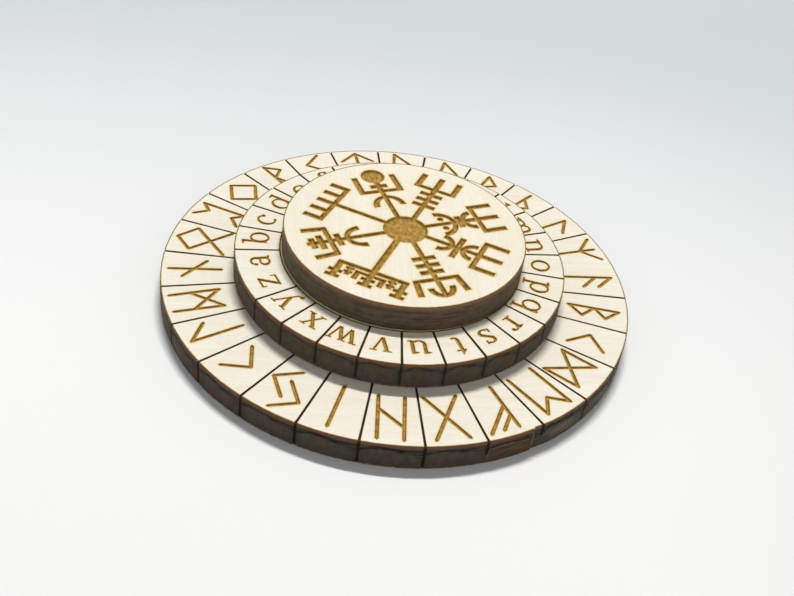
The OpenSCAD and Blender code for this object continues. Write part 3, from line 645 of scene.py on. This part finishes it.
# %% Read the outlines off the frame
def read_outlines(node, top):
    """The flat upward triangles of a CAD node, sorted by height. For each depth below top: the edges that
    belong to one triangle only, as pairs of plan points in mm, which outline the flat areas at that
    depth."""
    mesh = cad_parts[node].data
    corner = np.empty(len(mesh.loops), np.int32)
    mesh.loops.foreach_get("vertex_index", corner)
    co = points_of(node)
    unique, same = np.unique(np.round(co, 4), axis=0, return_inverse=True)
    triangles = same.ravel()[corner.reshape(-1, 3)]
    a, b, c = (unique[triangles[:, k]] for k in range(3))
    normal = np.cross(b - a, c - a)
    flat = normal[:, 2] > 0.999 * np.linalg.norm(normal, axis=1)
    height = np.round(unique[triangles[:, 0], 2], 3)
    areas = {}
    for z in np.unique(height[flat]):
        sides = triangles[flat & (height == z)][:, [0, 1, 1, 2, 2, 0]].reshape(-1, 2)
        ordered, count = np.unique(np.sort(sides, axis=1), axis=0, return_counts=True)
        areas[round(top - z, 3)] = unique[ordered[count == 1]][:, :, :2]
    return areas


FLOORS = {}
for name, disc in DISCS.items():
    areas = read_outlines(f"{name}_face_veneer", disc["top"])
    FLOORS[name] = {depth: sides for depth, sides in areas.items() if depth > 0}
    print(name, "edges at each depth", {float(depth): len(sides) for depth, sides in FLOORS[name].items()})

# %% [markdown]
# How far from a stroke, and inside or not
#
# The maker's eye asks two things of each spot on the face: how far it is from the nearest stroke, and
# whether it lies within one. Here both are measured for all points at once, against straight segments.
# Every point against every segment would be far too many pairs, so the plan is cut in strips 1 mm wide,
# because only the segments near a point can matter to it.

# %% Distances and insides
FAR = 1.0  # mm beyond which the distance to an outline no longer matters


def distance_to(points, segments):
    """The least distance from each point to any of the segments: to the nearest point of a segment, whose
    share along it is held between 0 and 1."""
    start, run = segments[:, 0], segments[:, 1] - segments[:, 0]
    away = points[:, None] - start
    share = np.clip((away * run).sum(2) / np.maximum((run ** 2).sum(1), 1e-12), 0, 1)
    return np.sqrt(((away - share[:, :, None] * run) ** 2).sum(2).min(1, initial=FAR ** 2))


def inside(points, segments):
    """Whether each point lies in the area that the segments outline: a ray towards +X crosses them an odd
    number of times."""
    x0, y0, x1, y1 = segments.reshape(-1, 4).T
    x, y = points[:, :1], points[:, 1:]
    spans = (y0 > y) != (y1 > y)
    cross = x0 + (y - y0) * (x1 - x0) / np.where(y1 == y0, 1, y1 - y0)
    return (spans & (cross > x)).sum(1) % 2 == 1


def in_strips(measure, points, segments):
    """Measures points against segments strip by strip in Y, each time with only the segments that come
    within FAR of the strip, which is all that either measure needs."""
    found = np.zeros(len(points))
    strip = np.floor(points[:, 1])
    low, high = segments[:, :, 1].min(1), segments[:, :, 1].max(1)
    for y in np.unique(strip):
        here = strip == y
        found[here] = measure(points[here], segments[(low < y + 1 + FAR) & (high > y - FAR)])
    return found


square = np.array([[[0, 0], [2, 0]], [[2, 0], [2, 2]], [[2, 2], [0, 2]], [[0, 2], [0, 0]]], float)
spots = np.array([[1.0, 0.4], [2.3, 1.5]])
print("in and by a square 2 mm wide: away", in_strips(distance_to, spots, square), "inside",
      in_strips(inside, spots, square) > 0)

# %% [markdown]
# The plan of a face
#
# Seen from above, the face is meshed again: a fine lattice of points near each outline, a coarse one
# elsewhere, and a Delaunay triangulation that keeps the outlines as edges. A plain grid would cut across
# the strokes and leave them ragged. This way the strokes keep the frame's exact shape, and the wood beside
# them has points enough to hold the scorch.

# %% Mesh the plan
FINE = 0.2  # mm between points beside an outline
COARSE = 3  # every third point elsewhere
BAND = 0.55  # mm on either side of an outline that gets fine points
CLEAR = 0.07  # mm that a lattice point keeps from an outline
CLEAR_BRINK, CLEAR_HOLE = 0.15, 0.5  # mm that it keeps from where the arris ends, and from the hole
ARRIS = 0.34  # mm over which the char on the disc's own edge fades
HOLE_STEPS = 96  # points round a hole
JOIN = 1e-4  # mm within which points are the same


def ring_of(centre, reach, angle):
    """Plan points on a ring."""
    return np.stack([centre[0] + reach * np.cos(angle), centre[1] + reach * np.sin(angle)], -1)


def rim_at_top(name):
    """The radius of the rim at the top of the disc, with its relief, at each of the rim's angles."""
    disc, angle = DISCS[name], rim_angles(name)
    return disc["radius"] - rim_facts(name, angle, np.full(len(angle), disc["top"] - disc["base"]))[0]


def lattice(disc, hole, outlines):
    """Points of a hexagonal lattice between the hole and the rim: all of them near an outline, and one in
    nine elsewhere."""
    radius = disc["radius"]
    count = int(2 * radius / FINE) + 2
    i, j = np.meshgrid(np.arange(count), np.arange(int(count / math.sqrt(0.75))), indexing="ij")
    x = (i + 0.5 * (j % 2)) * FINE - radius
    y = j * FINE * math.sqrt(0.75) - radius
    sparse = ((i % COARSE == 0) & (j % COARSE == 0)).ravel()
    spots = np.stack([x.ravel(), y.ravel()], -1)
    reach = np.hypot(*spots.T)
    kept = (reach < radius - ARRIS - CLEAR_BRINK) & (reach > hole + CLEAR_HOLE * (hole > 0))
    spots, sparse = spots[kept] + disc["centre"], sparse[kept]
    away = in_strips(distance_to, spots, outlines)
    return spots[(away > CLEAR) & ((away < BAND) | sparse)]


def plan_face(name):
    """A face seen from above: its points, its triangles and how deep each triangle is sunk. The
    triangulation joins the lattice, a ring where the arris ends, the rim, the hole and the outlines.
    Triangles past the rim or over the hole go, and the others take the depth of the outline that their
    middle lies in."""
    disc, angle, rim = DISCS[name], rim_angles(name), rim_at_top(name)
    hole = disc["holes"][-1][0][0] if disc["holes"][-1] else 0.0
    cuts = np.concatenate(list(FLOORS[name].values()))
    brink = ring_of(disc["centre"], rim - ARRIS, angle)
    spots = [lattice(disc, hole, cuts), brink[in_strips(distance_to, brink, cuts) > CLEAR]]
    loops = [ring_of(disc["centre"], rim, angle)]
    if hole:
        loops.append(ring_of(disc["centre"], hole, np.arange(HOLE_STEPS) / HOLE_STEPS * 2 * math.pi))
    plan = np.concatenate(spots + loops + [cuts.reshape(-1, 2)])
    sides, at = [], len(spots[0]) + len(spots[1])
    for loop in loops:
        k = np.arange(len(loop))
        sides.append(np.stack([at + k, at + (k + 1) % len(loop)], -1))
        at += len(loop)
    sides = np.concatenate(sides + [at + np.arange(len(cuts) * 2).reshape(-1, 2)])
    made = delaunay_2d_cdt([Vector(p) for p in plan.tolist()], sides.tolist(), [], 0, JOIN)
    plan, triangles = np.array([tuple(p) for p in made[0]]), np.array(made[2])

    middle = plan[triangles].mean(1)
    border = np.concatenate([np.stack([loop, np.roll(loop, -1, 0)], 1) for loop in loops])
    kept = in_strips(inside, middle, border) > 0
    triangles, middle = triangles[kept], middle[kept]
    sunk = np.zeros(len(triangles))
    for depth, outline in sorted(FLOORS[name].items()):
        sunk[in_strips(inside, middle, outline) > 0] = depth
    return plan, triangles, sunk


PLANS = {name: plan_face(name) for name in DISCS}
for name, (plan, triangles, sunk) in PLANS.items():
    print(name, "plan has", len(plan), "points and", len(triangles), "triangles,", int((sunk > 0).sum()),
          "of them sunk")

# %% [markdown]
# Storeys
#
# Each triangle of the plan is dropped to its floor. A plan point on an outline is then needed twice, once
# up on the flat and once down on the floor, so points are numbered by plan point and storey together.
# Points inside a floor stray up and down a little, because a laser's raster never leaves a floor quite
# flat.

# %% Drop the triangles to their floors
FLOOR_ROUGH = 0.05  # mm that a floor's points stray up and down
rng = np.random.default_rng(26)


def raise_storeys(name):
    """One point for each plan point and each storey that it is used on. Storey 0 is the flat, the others
    are the floors from the shallowest down. Gives all that the next steps ask of the face, under its
    name."""
    plan, triangles, sunk = PLANS[name]
    floors = FLOORS[name]
    depths = np.array(sorted({0.0, *floors}))
    storey = np.searchsorted(depths, sunk)
    away = in_strips(distance_to, plan, np.concatenate(list(floors.values())))
    used, top_faces = np.unique(triangles.ravel() * len(depths) + np.repeat(storey, 3), return_inverse=True)
    plan_of, storey_of = used // len(depths), used % len(depths)
    z = DISCS[name]["top"] - depths[storey_of]
    inner_floor = (storey_of > 0) & (away[plan_of] > CLEAR / 2)
    z = z + np.where(inner_floor, FLOOR_ROUGH * (rng.random(len(used)) - 0.5), 0)
    return {"plan": plan, "triangles": triangles, "depths": depths, "storey": storey, "used": used,
            "plan_of": plan_of, "storey_of": storey_of, "away": away[plan_of],
            "points": np.column_stack([plan[plan_of], z]), "top_faces": top_faces.reshape(-1, 3)}


FACES = {name: raise_storeys(name) for name in DISCS}
for name, face in FACES.items():
    print(name, "face has", len(face["points"]), "points on", len(face["depths"]), "storeys")

# %% [markdown]
# How burnt each spot is
#
# A rune's floor is toasted, and darkest where it meets the wall: partly char, since the beam turns round
# there, and partly painted shade at the foot of the wall. The dividing lines and the scored circle were cut
# in one slow pass, so they are charred, with a little soot on the flat beside them. Each stroke has a pale
# gold scorch, and the disc's own edge a thin charred arris. All of that is a distance turned into a number,
# which fades as a bell curve or in a straight line.

# %% Burn and soot
LINE_BURN = 0.93  # the floor of a dividing line
SCORE_BURN = 0.9  # the floor of the scored circle
FLOOR_BURN = {"outer": 0.5, "middle": 0.51, "top": 0.51}  # the toasted middle of a floor
# Char at the foot of a stroke's wall, and painted shade there as well
FLOOR_CHAR_AND_SHADE = {"outer": 0.2, "middle": 0.2, "top": 0.13}  # added where the floor meets a wall
FLOOR_FADE = {"outer": 0.2, "middle": 0.2, "top": 0.4}  # mm over which that fades
CHAR_FROM = 0.8  # a floor burnt more than this is charred
HALO = {"outer": 0.15, "middle": 0.15, "top": 0.2}  # mm over which the scorch beside a stroke fades
HALO_BURN = 0.29  # at the very edge of a stroke
SMOKE = {"outer": 0.015, "middle": 0.02, "top": 0.09}  # the faint stain that reaches further
SMOKE_FADE = 0.6  # mm
SOOT = 0.06  # mm over which the soot beside a dividing line fades
SOOT_MOST = 0.6  # at the very edge of a dividing line
ARRIS_BURN, ARRIS_SOOT = 0.65, 0.78  # at the very edge of the disc


def burn_face(name):
    """The burn of each storey's floor, and the burn and the soot of each point. On the flat the scorch is
    HALO_BURN * exp(-(distance / HALO) ** 2), the arris falls in a straight line, and the larger one
    counts; on a toasted floor a darkening that is part char and part painted shade fades from the wall in
    the same bell curve."""
    disc, face, floors = DISCS[name], FACES[name], FLOORS[name]
    plan, depths, plan_of, storey_of = (face[key] for key in ("plan", "depths", "plan_of", "storey_of"))
    burn_at = np.full(len(depths), FLOOR_BURN[name])
    if name != "top":
        burn_at[-1] = LINE_BURN
    if name == "middle":
        burn_at[1] = SCORE_BURN
    level = burn_at[storey_of]
    # Darker where the floor meets a wall: part char, part painted shade at the wall's foot
    edge = FLOOR_CHAR_AND_SHADE[name] * np.exp(-(face["away"] / FLOOR_FADE[name]) ** 2) * (level < CHAR_FROM)

    strokes = [sides for depth, sides in floors.items() if name == "top" or depth < depths[-1]]
    from_stroke = in_strips(distance_to, plan, np.concatenate(strokes))[plan_of]
    scorch = HALO_BURN * np.exp(-(from_stroke / HALO[name]) ** 2)
    scorch = scorch + SMOKE[name] * np.exp(-from_stroke / SMOKE_FADE)
    reach, turn = np.hypot(*(plan - disc["centre"]).T), np.arctan2(*(plan - disc["centre"]).T[::-1])
    rim = np.interp(turn, rim_angles(name), rim_at_top(name), period=2 * math.pi)
    arris = np.clip(1 - (rim - reach) / ARRIS, 0, 1)[plan_of] * (storey_of == 0)
    burn = np.where(storey_of == 0, np.maximum(scorch, ARRIS_BURN * arris), level + edge)

    soot = ARRIS_SOOT * arris
    if name != "top":
        from_line = in_strips(distance_to, plan, floors[depths[-1]])[plan_of]
        soot = np.maximum(soot, np.where(storey_of == 0, SOOT_MOST * np.exp(-(from_line / SOOT) ** 2), 0))
    return burn_at, burn, soot


BURNS = {name: burn_face(name) for name in DISCS}
for name, (burn_at, burn, soot) in BURNS.items():
    print(name, "mean burn", round(float(burn.mean()), 3), "mean soot", round(float(soot.mean()), 3))

# %% [markdown]
# Walls, rim and underside
#
# The terrace is closed in three steps. A side between two storeys gets an upright wall. A side with
# nothing beyond it lies on the rim or on the hole, and from there rows of points go down to the glue line,
# with the rim's relief at each height. The underside is the lowest row's outline, meshed once more without
# a lattice.

# %% Close the terrace
WALL_BURN = (0.28, 0.42)  # at the top and at the foot of a stroke's wall
CHAR_WALL_BURN = (0.55, 0.85)  # the same for the walls over a charred floor
BELOW_GROOVE = 0.42  # mm below the top, where the first row of the rim lies, clear of the deepest line
RIM_BAND = 1.0  # mm, nearer to the rim than this is the rim, not the hole


def sides_of(face):
    """All sides of the triangles: their two plan points, their own storey, and the storey beyond them or
    -1. A side's neighbour is the triangle that has the same two points the other way round."""
    triangles, count = face["triangles"].astype(np.int64), len(face["plan"])
    a, b = triangles.ravel(), triangles[:, [1, 2, 0]].ravel()
    own = np.repeat(face["storey"], 3)
    code, back = a * count + b, b * count + a
    order = np.argsort(code)
    found = np.minimum(np.searchsorted(code[order], back), len(code) - 1)
    beyond = np.where(code[order][found] == back, own[order][found], -1)
    return a, b, own, beyond


def point_over(face, plan_point, storey):
    """The number of the point over a plan point on a storey."""
    return np.searchsorted(face["used"], plan_point * len(face["depths"]) + storey)


def wall_triangles(face, burn_at, a, b, own, beyond):
    """Two triangles for each side that steps down, and how burnt their corners are."""
    a_high, b_high = point_over(face, a, own), point_over(face, b, own)
    a_low, b_low = point_over(face, a, beyond), point_over(face, b, beyond)
    charred = burn_at[beyond] > CHAR_FROM
    head, foot = (np.where(charred, char, toast) for char, toast in zip(CHAR_WALL_BURN, WALL_BURN))
    return (np.concatenate([np.stack([a_high, a_low, b_low], -1), np.stack([a_high, b_low, b_high], -1)]),
            np.concatenate([np.stack([head, foot, foot], -1), np.stack([head, foot, head], -1)]))


def rim_rows(name, spot):
    """Points below the ends of the open sides, row by row down to the glue line, and the rim's marks for
    the top and each row. spot is a point's place from the centre, and it keeps its angle on its way
    down."""
    disc = DISCS[name]
    low, top = disc["heights"][-1]
    reach, turn = np.hypot(*spot.T), np.arctan2(spot[:, 1], spot[:, 0])
    on_rim = reach > disc["radius"] - RIM_BAND
    points, marks = [], [rim_facts(name, turn, np.full(len(spot), top - disc["base"]))[1]]
    for height in np.linspace(top - BELOW_GROOVE, low, RIM_ROWS - 1):
        depth, row_marks = rim_facts(name, turn, np.full(len(spot), height - disc["base"]))
        out = np.where(on_rim, disc["radius"] - depth, reach)
        points.append(np.column_stack([disc["centre"] + spot / reach[:, None] * out[:, None],
                                       np.full(len(spot), height)]))
        marks.append(row_marks)
    return points, marks


def rim_triangles(face, a, b, own, ends, first_row, marks):
    """Two triangles below each open side in each row, with the marks of their corners. Where a groove runs
    out through the rim, a small triangle joins its end to the rim beside it."""
    a_end, b_end = np.searchsorted(ends, a), np.searchsorted(ends, b)
    above_a, above_b = point_over(face, a, own), point_over(face, b, own)
    triangles, corner_marks = [], []
    for k, (upper, lower) in enumerate(zip(marks[:-1], marks[1:])):
        here_a, here_b = first_row + k * len(ends) + a_end, first_row + k * len(ends) + b_end
        triangles += [np.stack([above_a, here_a, here_b], -1), np.stack([above_a, here_b, above_b], -1)]
        corner_marks += [np.stack([upper[a_end], lower[a_end], lower[b_end]], 1),
                         np.stack([upper[a_end], lower[b_end], upper[b_end]], 1)]
        above_a, above_b = here_a, here_b
    deepest = len(face["depths"]) - 1
    for point, order in ((b, (0, 2, 1)), (a, (2, 0, 1))):
        corner = point[own == 0]
        corner = corner[np.isin(corner * len(face["depths"]) + deepest, face["used"])]
        three = (point_over(face, corner, 0), point_over(face, corner, deepest),
                 first_row + np.searchsorted(ends, corner))
        triangles.append(np.stack([three[k] for k in order], -1))
        corner_marks.append(np.zeros((len(corner), 3, len(RIM_MARKS))))
    return np.concatenate(triangles), np.concatenate(corner_marks)


def underside_triangles(spots, sides):
    """The area inside the lowest row's outline, facing down."""
    made = delaunay_2d_cdt([Vector(p) for p in spots.tolist()], sides.tolist(), [], 0, JOIN / 10, True)
    origin = np.array([ids[0] for ids in made[3]])
    triangles = origin[np.array(made[2])]
    kept = in_strips(inside, spots[triangles].mean(1), spots[sides]) > 0
    return triangles[kept][:, ::-1]


def build_face(name):
    """The engraved face veneer of a disc, as a closed terrace."""
    face = FACES[name]
    burn_at, burn, soot = BURNS[name]
    a, b, own, beyond = sides_of(face)
    down, edge = beyond > own, beyond < 0
    walls, wall_burn = wall_triangles(face, burn_at, a[down], b[down], own[down], beyond[down])
    a, b, own = a[edge], b[edge], own[edge]
    ends = np.unique(np.concatenate([a, b]))
    rows, marks = rim_rows(name, face["plan"][ends] - DISCS[name]["centre"])
    first_row = len(face["points"])
    fall, fall_marks = rim_triangles(face, a, b, own, ends, first_row, marks)
    outline = np.stack([np.searchsorted(ends, a), np.searchsorted(ends, b)], -1)
    below = first_row + (len(rows) - 1) * len(ends) + underside_triangles(rows[-1][:, :2], outline)

    parts = (face["top_faces"], walls, fall, below)
    none = [np.zeros((len(part), 3)) for part in parts]
    values = {"burn": np.concatenate([burn[face["top_faces"]], wall_burn, *none[2:]]),
              "soot": np.concatenate([soot[face["top_faces"]], *none[1:]])}
    for k, key in enumerate(RIM_MARKS):
        values[key] = np.concatenate([*none[:2], fall_marks[:, :, k], none[3]])
    slots = np.repeat((0, 0, 1, 0), [len(part) for part in parts])
    return mesh_from(f"{name}_face_engraved", np.concatenate([face["points"], *rows]), np.concatenate(parts),
                     slots, values)


for name in DISCS:
    piece = build_face(name)
    put_in_place(piece, name, f"{name}_face_veneer")
    print(piece.name, len(piece.data.polygons), "triangles")

# %% [markdown]
# Torn birch
#
# Where the beam left the underside it tore the last veneer more than it burnt it, and the torn wood kept
# its pale colour. It is too small for any grain to show, so two tones in soft patches are enough, and
# neighbours differ as they do on the real edge.

# %% Torn birch
TORN_PATCH = 0.6  # mm across one patch


def fibre_finish():
    """Torn birch: bare, pale and dull, in patches of two tones."""
    material, tree, place = start_finish("birch_torn_fibre")
    patches = add(tree, "ShaderNodeTexNoise", Scale=1.0 / (TORN_PATCH * MM), Detail=1.0,
                  Vector=place).outputs["Fac"]
    share = add(tree, "ShaderNodeMapRange", Value=patches, From_Min=0.35, From_Max=0.65).outputs[0]
    colour = add(tree, "ShaderNodeMix", {"data_type": "RGBA"}, Factor=share, in_6=linear("#7d6238"),
                 in_7=linear("#cdb57c")).outputs[2]
    shader = add(tree, "ShaderNodeBsdfPrincipled", Base_Color=colour, Roughness=0.85, Specular_IOR_Level=0.2)
    add(tree, "ShaderNodeOutputMaterial", Surface=shader.outputs["BSDF"])
    return material


TORN = fibre_finish()
print("fibre finish", TORN.name)

# %% [markdown]
# Loose fibres
#
# The fibres stand along the lower edge, thickest at the front left. Hair curves could draw them, but plain
# spikes stay with the mesh wherever it is exported. Each one is a thin three-sided spike that hangs down
# from its root in the rim. They are made all at once: the roots and tips are arrays, and the three corners
# of a root lie round it.

# %% Fibres
FIBRES = {"outer": 4200, "middle": 1500}  # how many are dealt out round the rim
FIBRE_WIDE = (0.025, 0.05)  # mm from a root's middle to its corners
FIBRE_LONG = (0.15, 0.55)  # mm
FIBRE_LIFT = (0.03, 0.13)  # mm from the disc's underside to a fibre's tip
FIBRE_OUT = (0.08, 0.2)  # mm that a tip stands further out than its root
FIBRE_LEAN = 0.3  # how far a tip leans to either side, as a share of its length
FIBRE_INSIDE = 0.005  # mm that a tip stays inside the true rim


def build_fibres(name, finish):
    """Spikes round a disc's lower edge. They are dealt out evenly and kept with the chance that the edge
    is frayed there, which FRAYED gives."""
    disc = DISCS[name]
    angle = rng.random(FIBRES[name]) * 2 * math.pi
    angle = angle[rng.random(len(angle)) < 0.12 + 0.88 * FRAYED[name](angle)]
    count = len(angle)
    long = FIBRE_LONG[0] + (FIBRE_LONG[1] - FIBRE_LONG[0]) * rng.random(count) ** 2
    wide = FIBRE_WIDE[0] + (FIBRE_WIDE[1] - FIBRE_WIDE[0]) * rng.random(count)
    height = long + FIBRE_LIFT[0] + (FIBRE_LIFT[1] - FIBRE_LIFT[0]) * rng.random(count)
    outward = np.stack([np.cos(angle), np.sin(angle), 0 * angle], -1)
    sideways = np.stack([-np.sin(angle), np.cos(angle), 0 * angle], -1)
    upward = np.array([0, 0, 1])
    centre = np.array([*disc["centre"], disc["base"]])
    rim = disc["radius"] - rim_facts(name, angle, height)[0] - FIBRE_WIDE[1]
    root = centre + outward * rim[:, None] + upward * height[:, None]
    lean = FIBRE_LEAN * (2 * rng.random(count) - 1) * long
    reach = rim + FIBRE_OUT[0] + (FIBRE_OUT[1] - FIBRE_OUT[0]) * rng.random(count)
    reach = np.minimum(reach, disc["radius"] - FIBRE_INSIDE)
    tip = centre + outward * reach[:, None] + sideways * lean[:, None] + upward * (height - long)[:, None]
    corners = [root + wide[:, None] * (math.cos(t) * sideways + math.sin(t) * outward)
               for t in (0.0, 2 * math.pi / 3, 4 * math.pi / 3)]
    points = np.stack([*corners, tip], 1).reshape(-1, 3)
    spike = np.array([[0, 1, 2], [0, 3, 1], [1, 3, 2], [2, 3, 0]])
    triangles = (4 * np.arange(count)[:, None, None] + spike).reshape(-1, 3)
    piece = mesh_from(f"{name}_loose_fibres", points, triangles)
    piece.data.materials.append(finish)
    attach(piece, BODY_OF[name])
    return piece


for name in FIBRES:
    piece = build_fibres(name, TORN)
    print(piece.name, len(piece.data.polygons), "triangles")

# %% [markdown]
# The pivot's hardware
#
# The binding post, its screw and the washers are bought parts whose shape the frame already has, so they
# only get their finish: turned brass for the post and the screw, zinc-plated steel for two washers and
# red-brown vulcanised fibre for the thin one between the discs.

# %% Metal and fibre
DULL = 0.72  # how dark the darkest marks are beside the brightest
UNEVEN = 0.08  # how far the roughness strays to either side


def plain_finish(name, code, metallic, roughness, scale, strength):
    """A turned or pressed surface: one tone, slightly uneven, with fine marks whose spacing is scale in
    mm."""
    material, tree, place = start_finish(name)
    marks = add(tree, "ShaderNodeTexNoise", Scale=1.0 / (scale * MM), Detail=3.0, Vector=place).outputs["Fac"]
    dull = tuple(DULL * c for c in linear(code)[:3]) + (1.0,)
    colour = add(tree, "ShaderNodeMix", {"data_type": "RGBA"}, Factor=marks, in_6=dull,
                 in_7=linear(code)).outputs[2]
    bump = add(tree, "ShaderNodeBump", Strength=strength, Distance=0.02 * MM, Height=marks).outputs["Normal"]
    rough = add(tree, "ShaderNodeMapRange", Value=marks, To_Min=roughness - UNEVEN,
                To_Max=roughness + UNEVEN).outputs[0]
    shader = add(tree, "ShaderNodeBsdfPrincipled", Base_Color=colour, Roughness=rough, Normal=bump,
                 Metallic=metallic)
    add(tree, "ShaderNodeOutputMaterial", Surface=shader.outputs["BSDF"])
    return material


BRASS = plain_finish("brass_turned", "#d9bd78", 1.0, 0.32, 0.3, 0.2)
ZINC = plain_finish("steel_zinc_plated", "#c3c6ca", 1.0, 0.38, 0.5, 0.2)
FIBRE = plain_finish("vulcanised_fibre", "#7d3f2a", 0.0, 0.6, 0.2, 0.4)
FINISH_OF = {"binding_post": BRASS, "post_screw": BRASS, "flange_washer": ZINC, "head_washer": ZINC,
             "spacer_washer": FIBRE}
for node, finish in FINISH_OF.items():
    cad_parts[node].data.materials.clear()
    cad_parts[node].data.materials.append(finish)
print("hardware", list(FINISH_OF))

# %% [markdown]
# The floor
#
# The photograph is high key: a pale ground that turns a cool grey far behind. A flat plane would show its
# edge as a horizon. So the floor is a shallow bowl of matt paper, flat in the middle and curved up far
# away, and no horizon shows from any side. Its far part glows, as the walls of a light tent do, and that
# lights the rims from the side.

# %% Floor
FLAT, CURVE = 0.9, 1.4  # metres, how far out the paper is flat, and how wide and high it then curves up
GLOW = (0.2, 0.5)  # how bright the far paper glows, at the front and back and at the left and right
GLOW_FROM, GLOW_OVER = 0.45, 0.55  # metres from the wheel at which it starts, and over which it rises


def paper_finish():
    """Matt paper, near white under the wheel, with painted shade: a little darker at the right, and a pale
    blue grey behind the wheel, more softly the further out. Both changes are smooth steps in metres. Its glow
    comes as an attribute."""
    material, tree, place = start_finish("floor_matt_paper")
    plan = add(tree, "ShaderNodeSeparateXYZ", Vector=place).outputs
    reach = add(tree, "ShaderNodeVectorMath", {"operation": "LENGTH"}, Vector=place).outputs["Value"]
    spread = add(tree, "ShaderNodeMapRange", Value=reach, From_Min=0.3, From_Max=2.3, To_Min=0.17,
                 To_Max=2.2).outputs[0]
    # Painted shade: how far the paper darkens at the right, and towards the far grey behind the wheel
    painted_shade_behind, painted_shade_right = (add(tree, "ShaderNodeMapRange", {"interpolation_type": "SMOOTHSTEP"}, Value=plan[axis],
                       From_Min=low, From_Max=high).outputs[0]
                   for axis, low, high in (("Y", -0.04, spread), ("X", 0.04, 0.13)))
    # The greys of the painted shade: darker paper at the right, and a pale blue grey far behind
    colour = add(tree, "ShaderNodeMix", {"data_type": "RGBA"}, Factor=painted_shade_right, in_6=linear("#f3f3f3"),
                 in_7=linear("#e6e7e6")).outputs[2]
    colour = add(tree, "ShaderNodeMix", {"data_type": "RGBA"}, Factor=painted_shade_behind, in_6=colour,
                 in_7=linear("#c4c9cc")).outputs[2]
    glow = add(tree, "ShaderNodeAttribute", {"attribute_name": "glow"}).outputs["Fac"]
    shader = add(tree, "ShaderNodeBsdfPrincipled", Base_Color=colour, Roughness=0.9, Emission_Strength=glow,
                 Emission_Color=linear("#f3f5f8"), Specular_IOR_Level=0.1)
    add(tree, "ShaderNodeOutputMaterial", Surface=shader.outputs["BSDF"])
    return material


def build_floor():
    """A bowl turned round the axis: flat out to FLAT, then a quarter circle of CURVE that ends upright.
    The glow rises as a smooth step of the distance, and goes from the first to the second of GLOW with the
    square of the sine of the angle from the Y axis."""
    steps, rows = 96, 25
    angle = np.arange(steps) / steps * 2 * math.pi
    bend = np.linspace(0, math.pi / 2, rows)
    reach = np.concatenate([[0.02, 0.3, 0.6, FLAT], FLAT + CURVE * np.sin(bend[1:])])
    level = np.concatenate([[0, 0, 0, 0], CURVE * (1 - np.cos(bend[1:]))])
    points = np.stack([reach[:, None] * np.cos(angle), reach[:, None] * np.sin(angle),
                       level[:, None] + 0 * angle], -1).reshape(-1, 3)
    centre = len(points)
    points = np.vstack([points, [0, 0, 0]])
    ring = np.arange(steps)
    triangles = np.vstack([grid_triangles(len(reach), steps, False),
                           np.stack([centre + 0 * ring, ring, (ring + 1) % steps], -1)])
    away = np.clip((np.hypot(points[:, 0], points[:, 1]) - GLOW_FROM) / GLOW_OVER, 0, 1)
    side = points[:, 0] ** 2 / np.maximum(points[:, 0] ** 2 + points[:, 1] ** 2, 1e-9)
    glow = away * away * (3 - 2 * away) * (GLOW[0] + (GLOW[1] - GLOW[0]) * side)
    floor = mesh_from("studio_floor", points / MM, triangles, None, {"glow": glow[triangles]})
    floor.data.materials.append(paper_finish())
    floor.data.shade_smooth()
    return floor


floor = build_floor()
print(floor.name, "reaches", round(FLAT + CURVE, 2), "m out in", len(floor.data.polygons), "triangles")

# %% [markdown]
# The lamps
#
# One lamp stands high behind the wheel and lays a thin crisp shadow in front of each disc, so it is long
# and narrow. A large weak one from the front opens the shadows, and an even sky gives the rest. Lamps are
# placed by bearing and height, as a photographer would say it. The view transform is plain, so that a
# colour picked from a picture comes out as that colour.

# %% Lamps
def add_lamp(name, azimuth, elevation, away, size, watts, code):
    """A soft box that faces the wheel from a bearing, a height angle and a distance in metres. size is its
    length from side to side and its height."""
    lamp = bpy.data.objects.new(name, bpy.data.lights.new(name, "AREA"))
    bpy.context.scene.collection.objects.link(lamp)
    a, e = math.radians(azimuth), math.radians(elevation)
    place = Vector((math.cos(a) * math.cos(e), math.sin(a) * math.cos(e), math.sin(e))) * away
    lamp.location = place
    lamp.rotation_euler = (-place).to_track_quat("-Z", "Y").to_euler()
    lamp.data.shape = "RECTANGLE"
    lamp.data.size, lamp.data.size_y = size
    lamp.data.energy = watts
    lamp.data.color = linear(code)[:3]
    lamp.visible_camera = False


add_lamp("key_behind", 88.0, 69.5, 1.2, (0.4, 0.05), 12.2, "#fffefc")
add_lamp("soft_overhead", -60.0, 62.0, 1.3, (1.2, 1.2), 0.5, "#fbfcff")
world = bpy.data.worlds.new("studio")
world.use_nodes = True
world.node_tree.nodes["Background"].inputs["Color"].default_value = linear("#f1f2f2")
world.node_tree.nodes["Background"].inputs["Strength"].default_value = 0.18
bpy.context.scene.world = world
bpy.context.scene.view_settings.view_transform = "Standard"
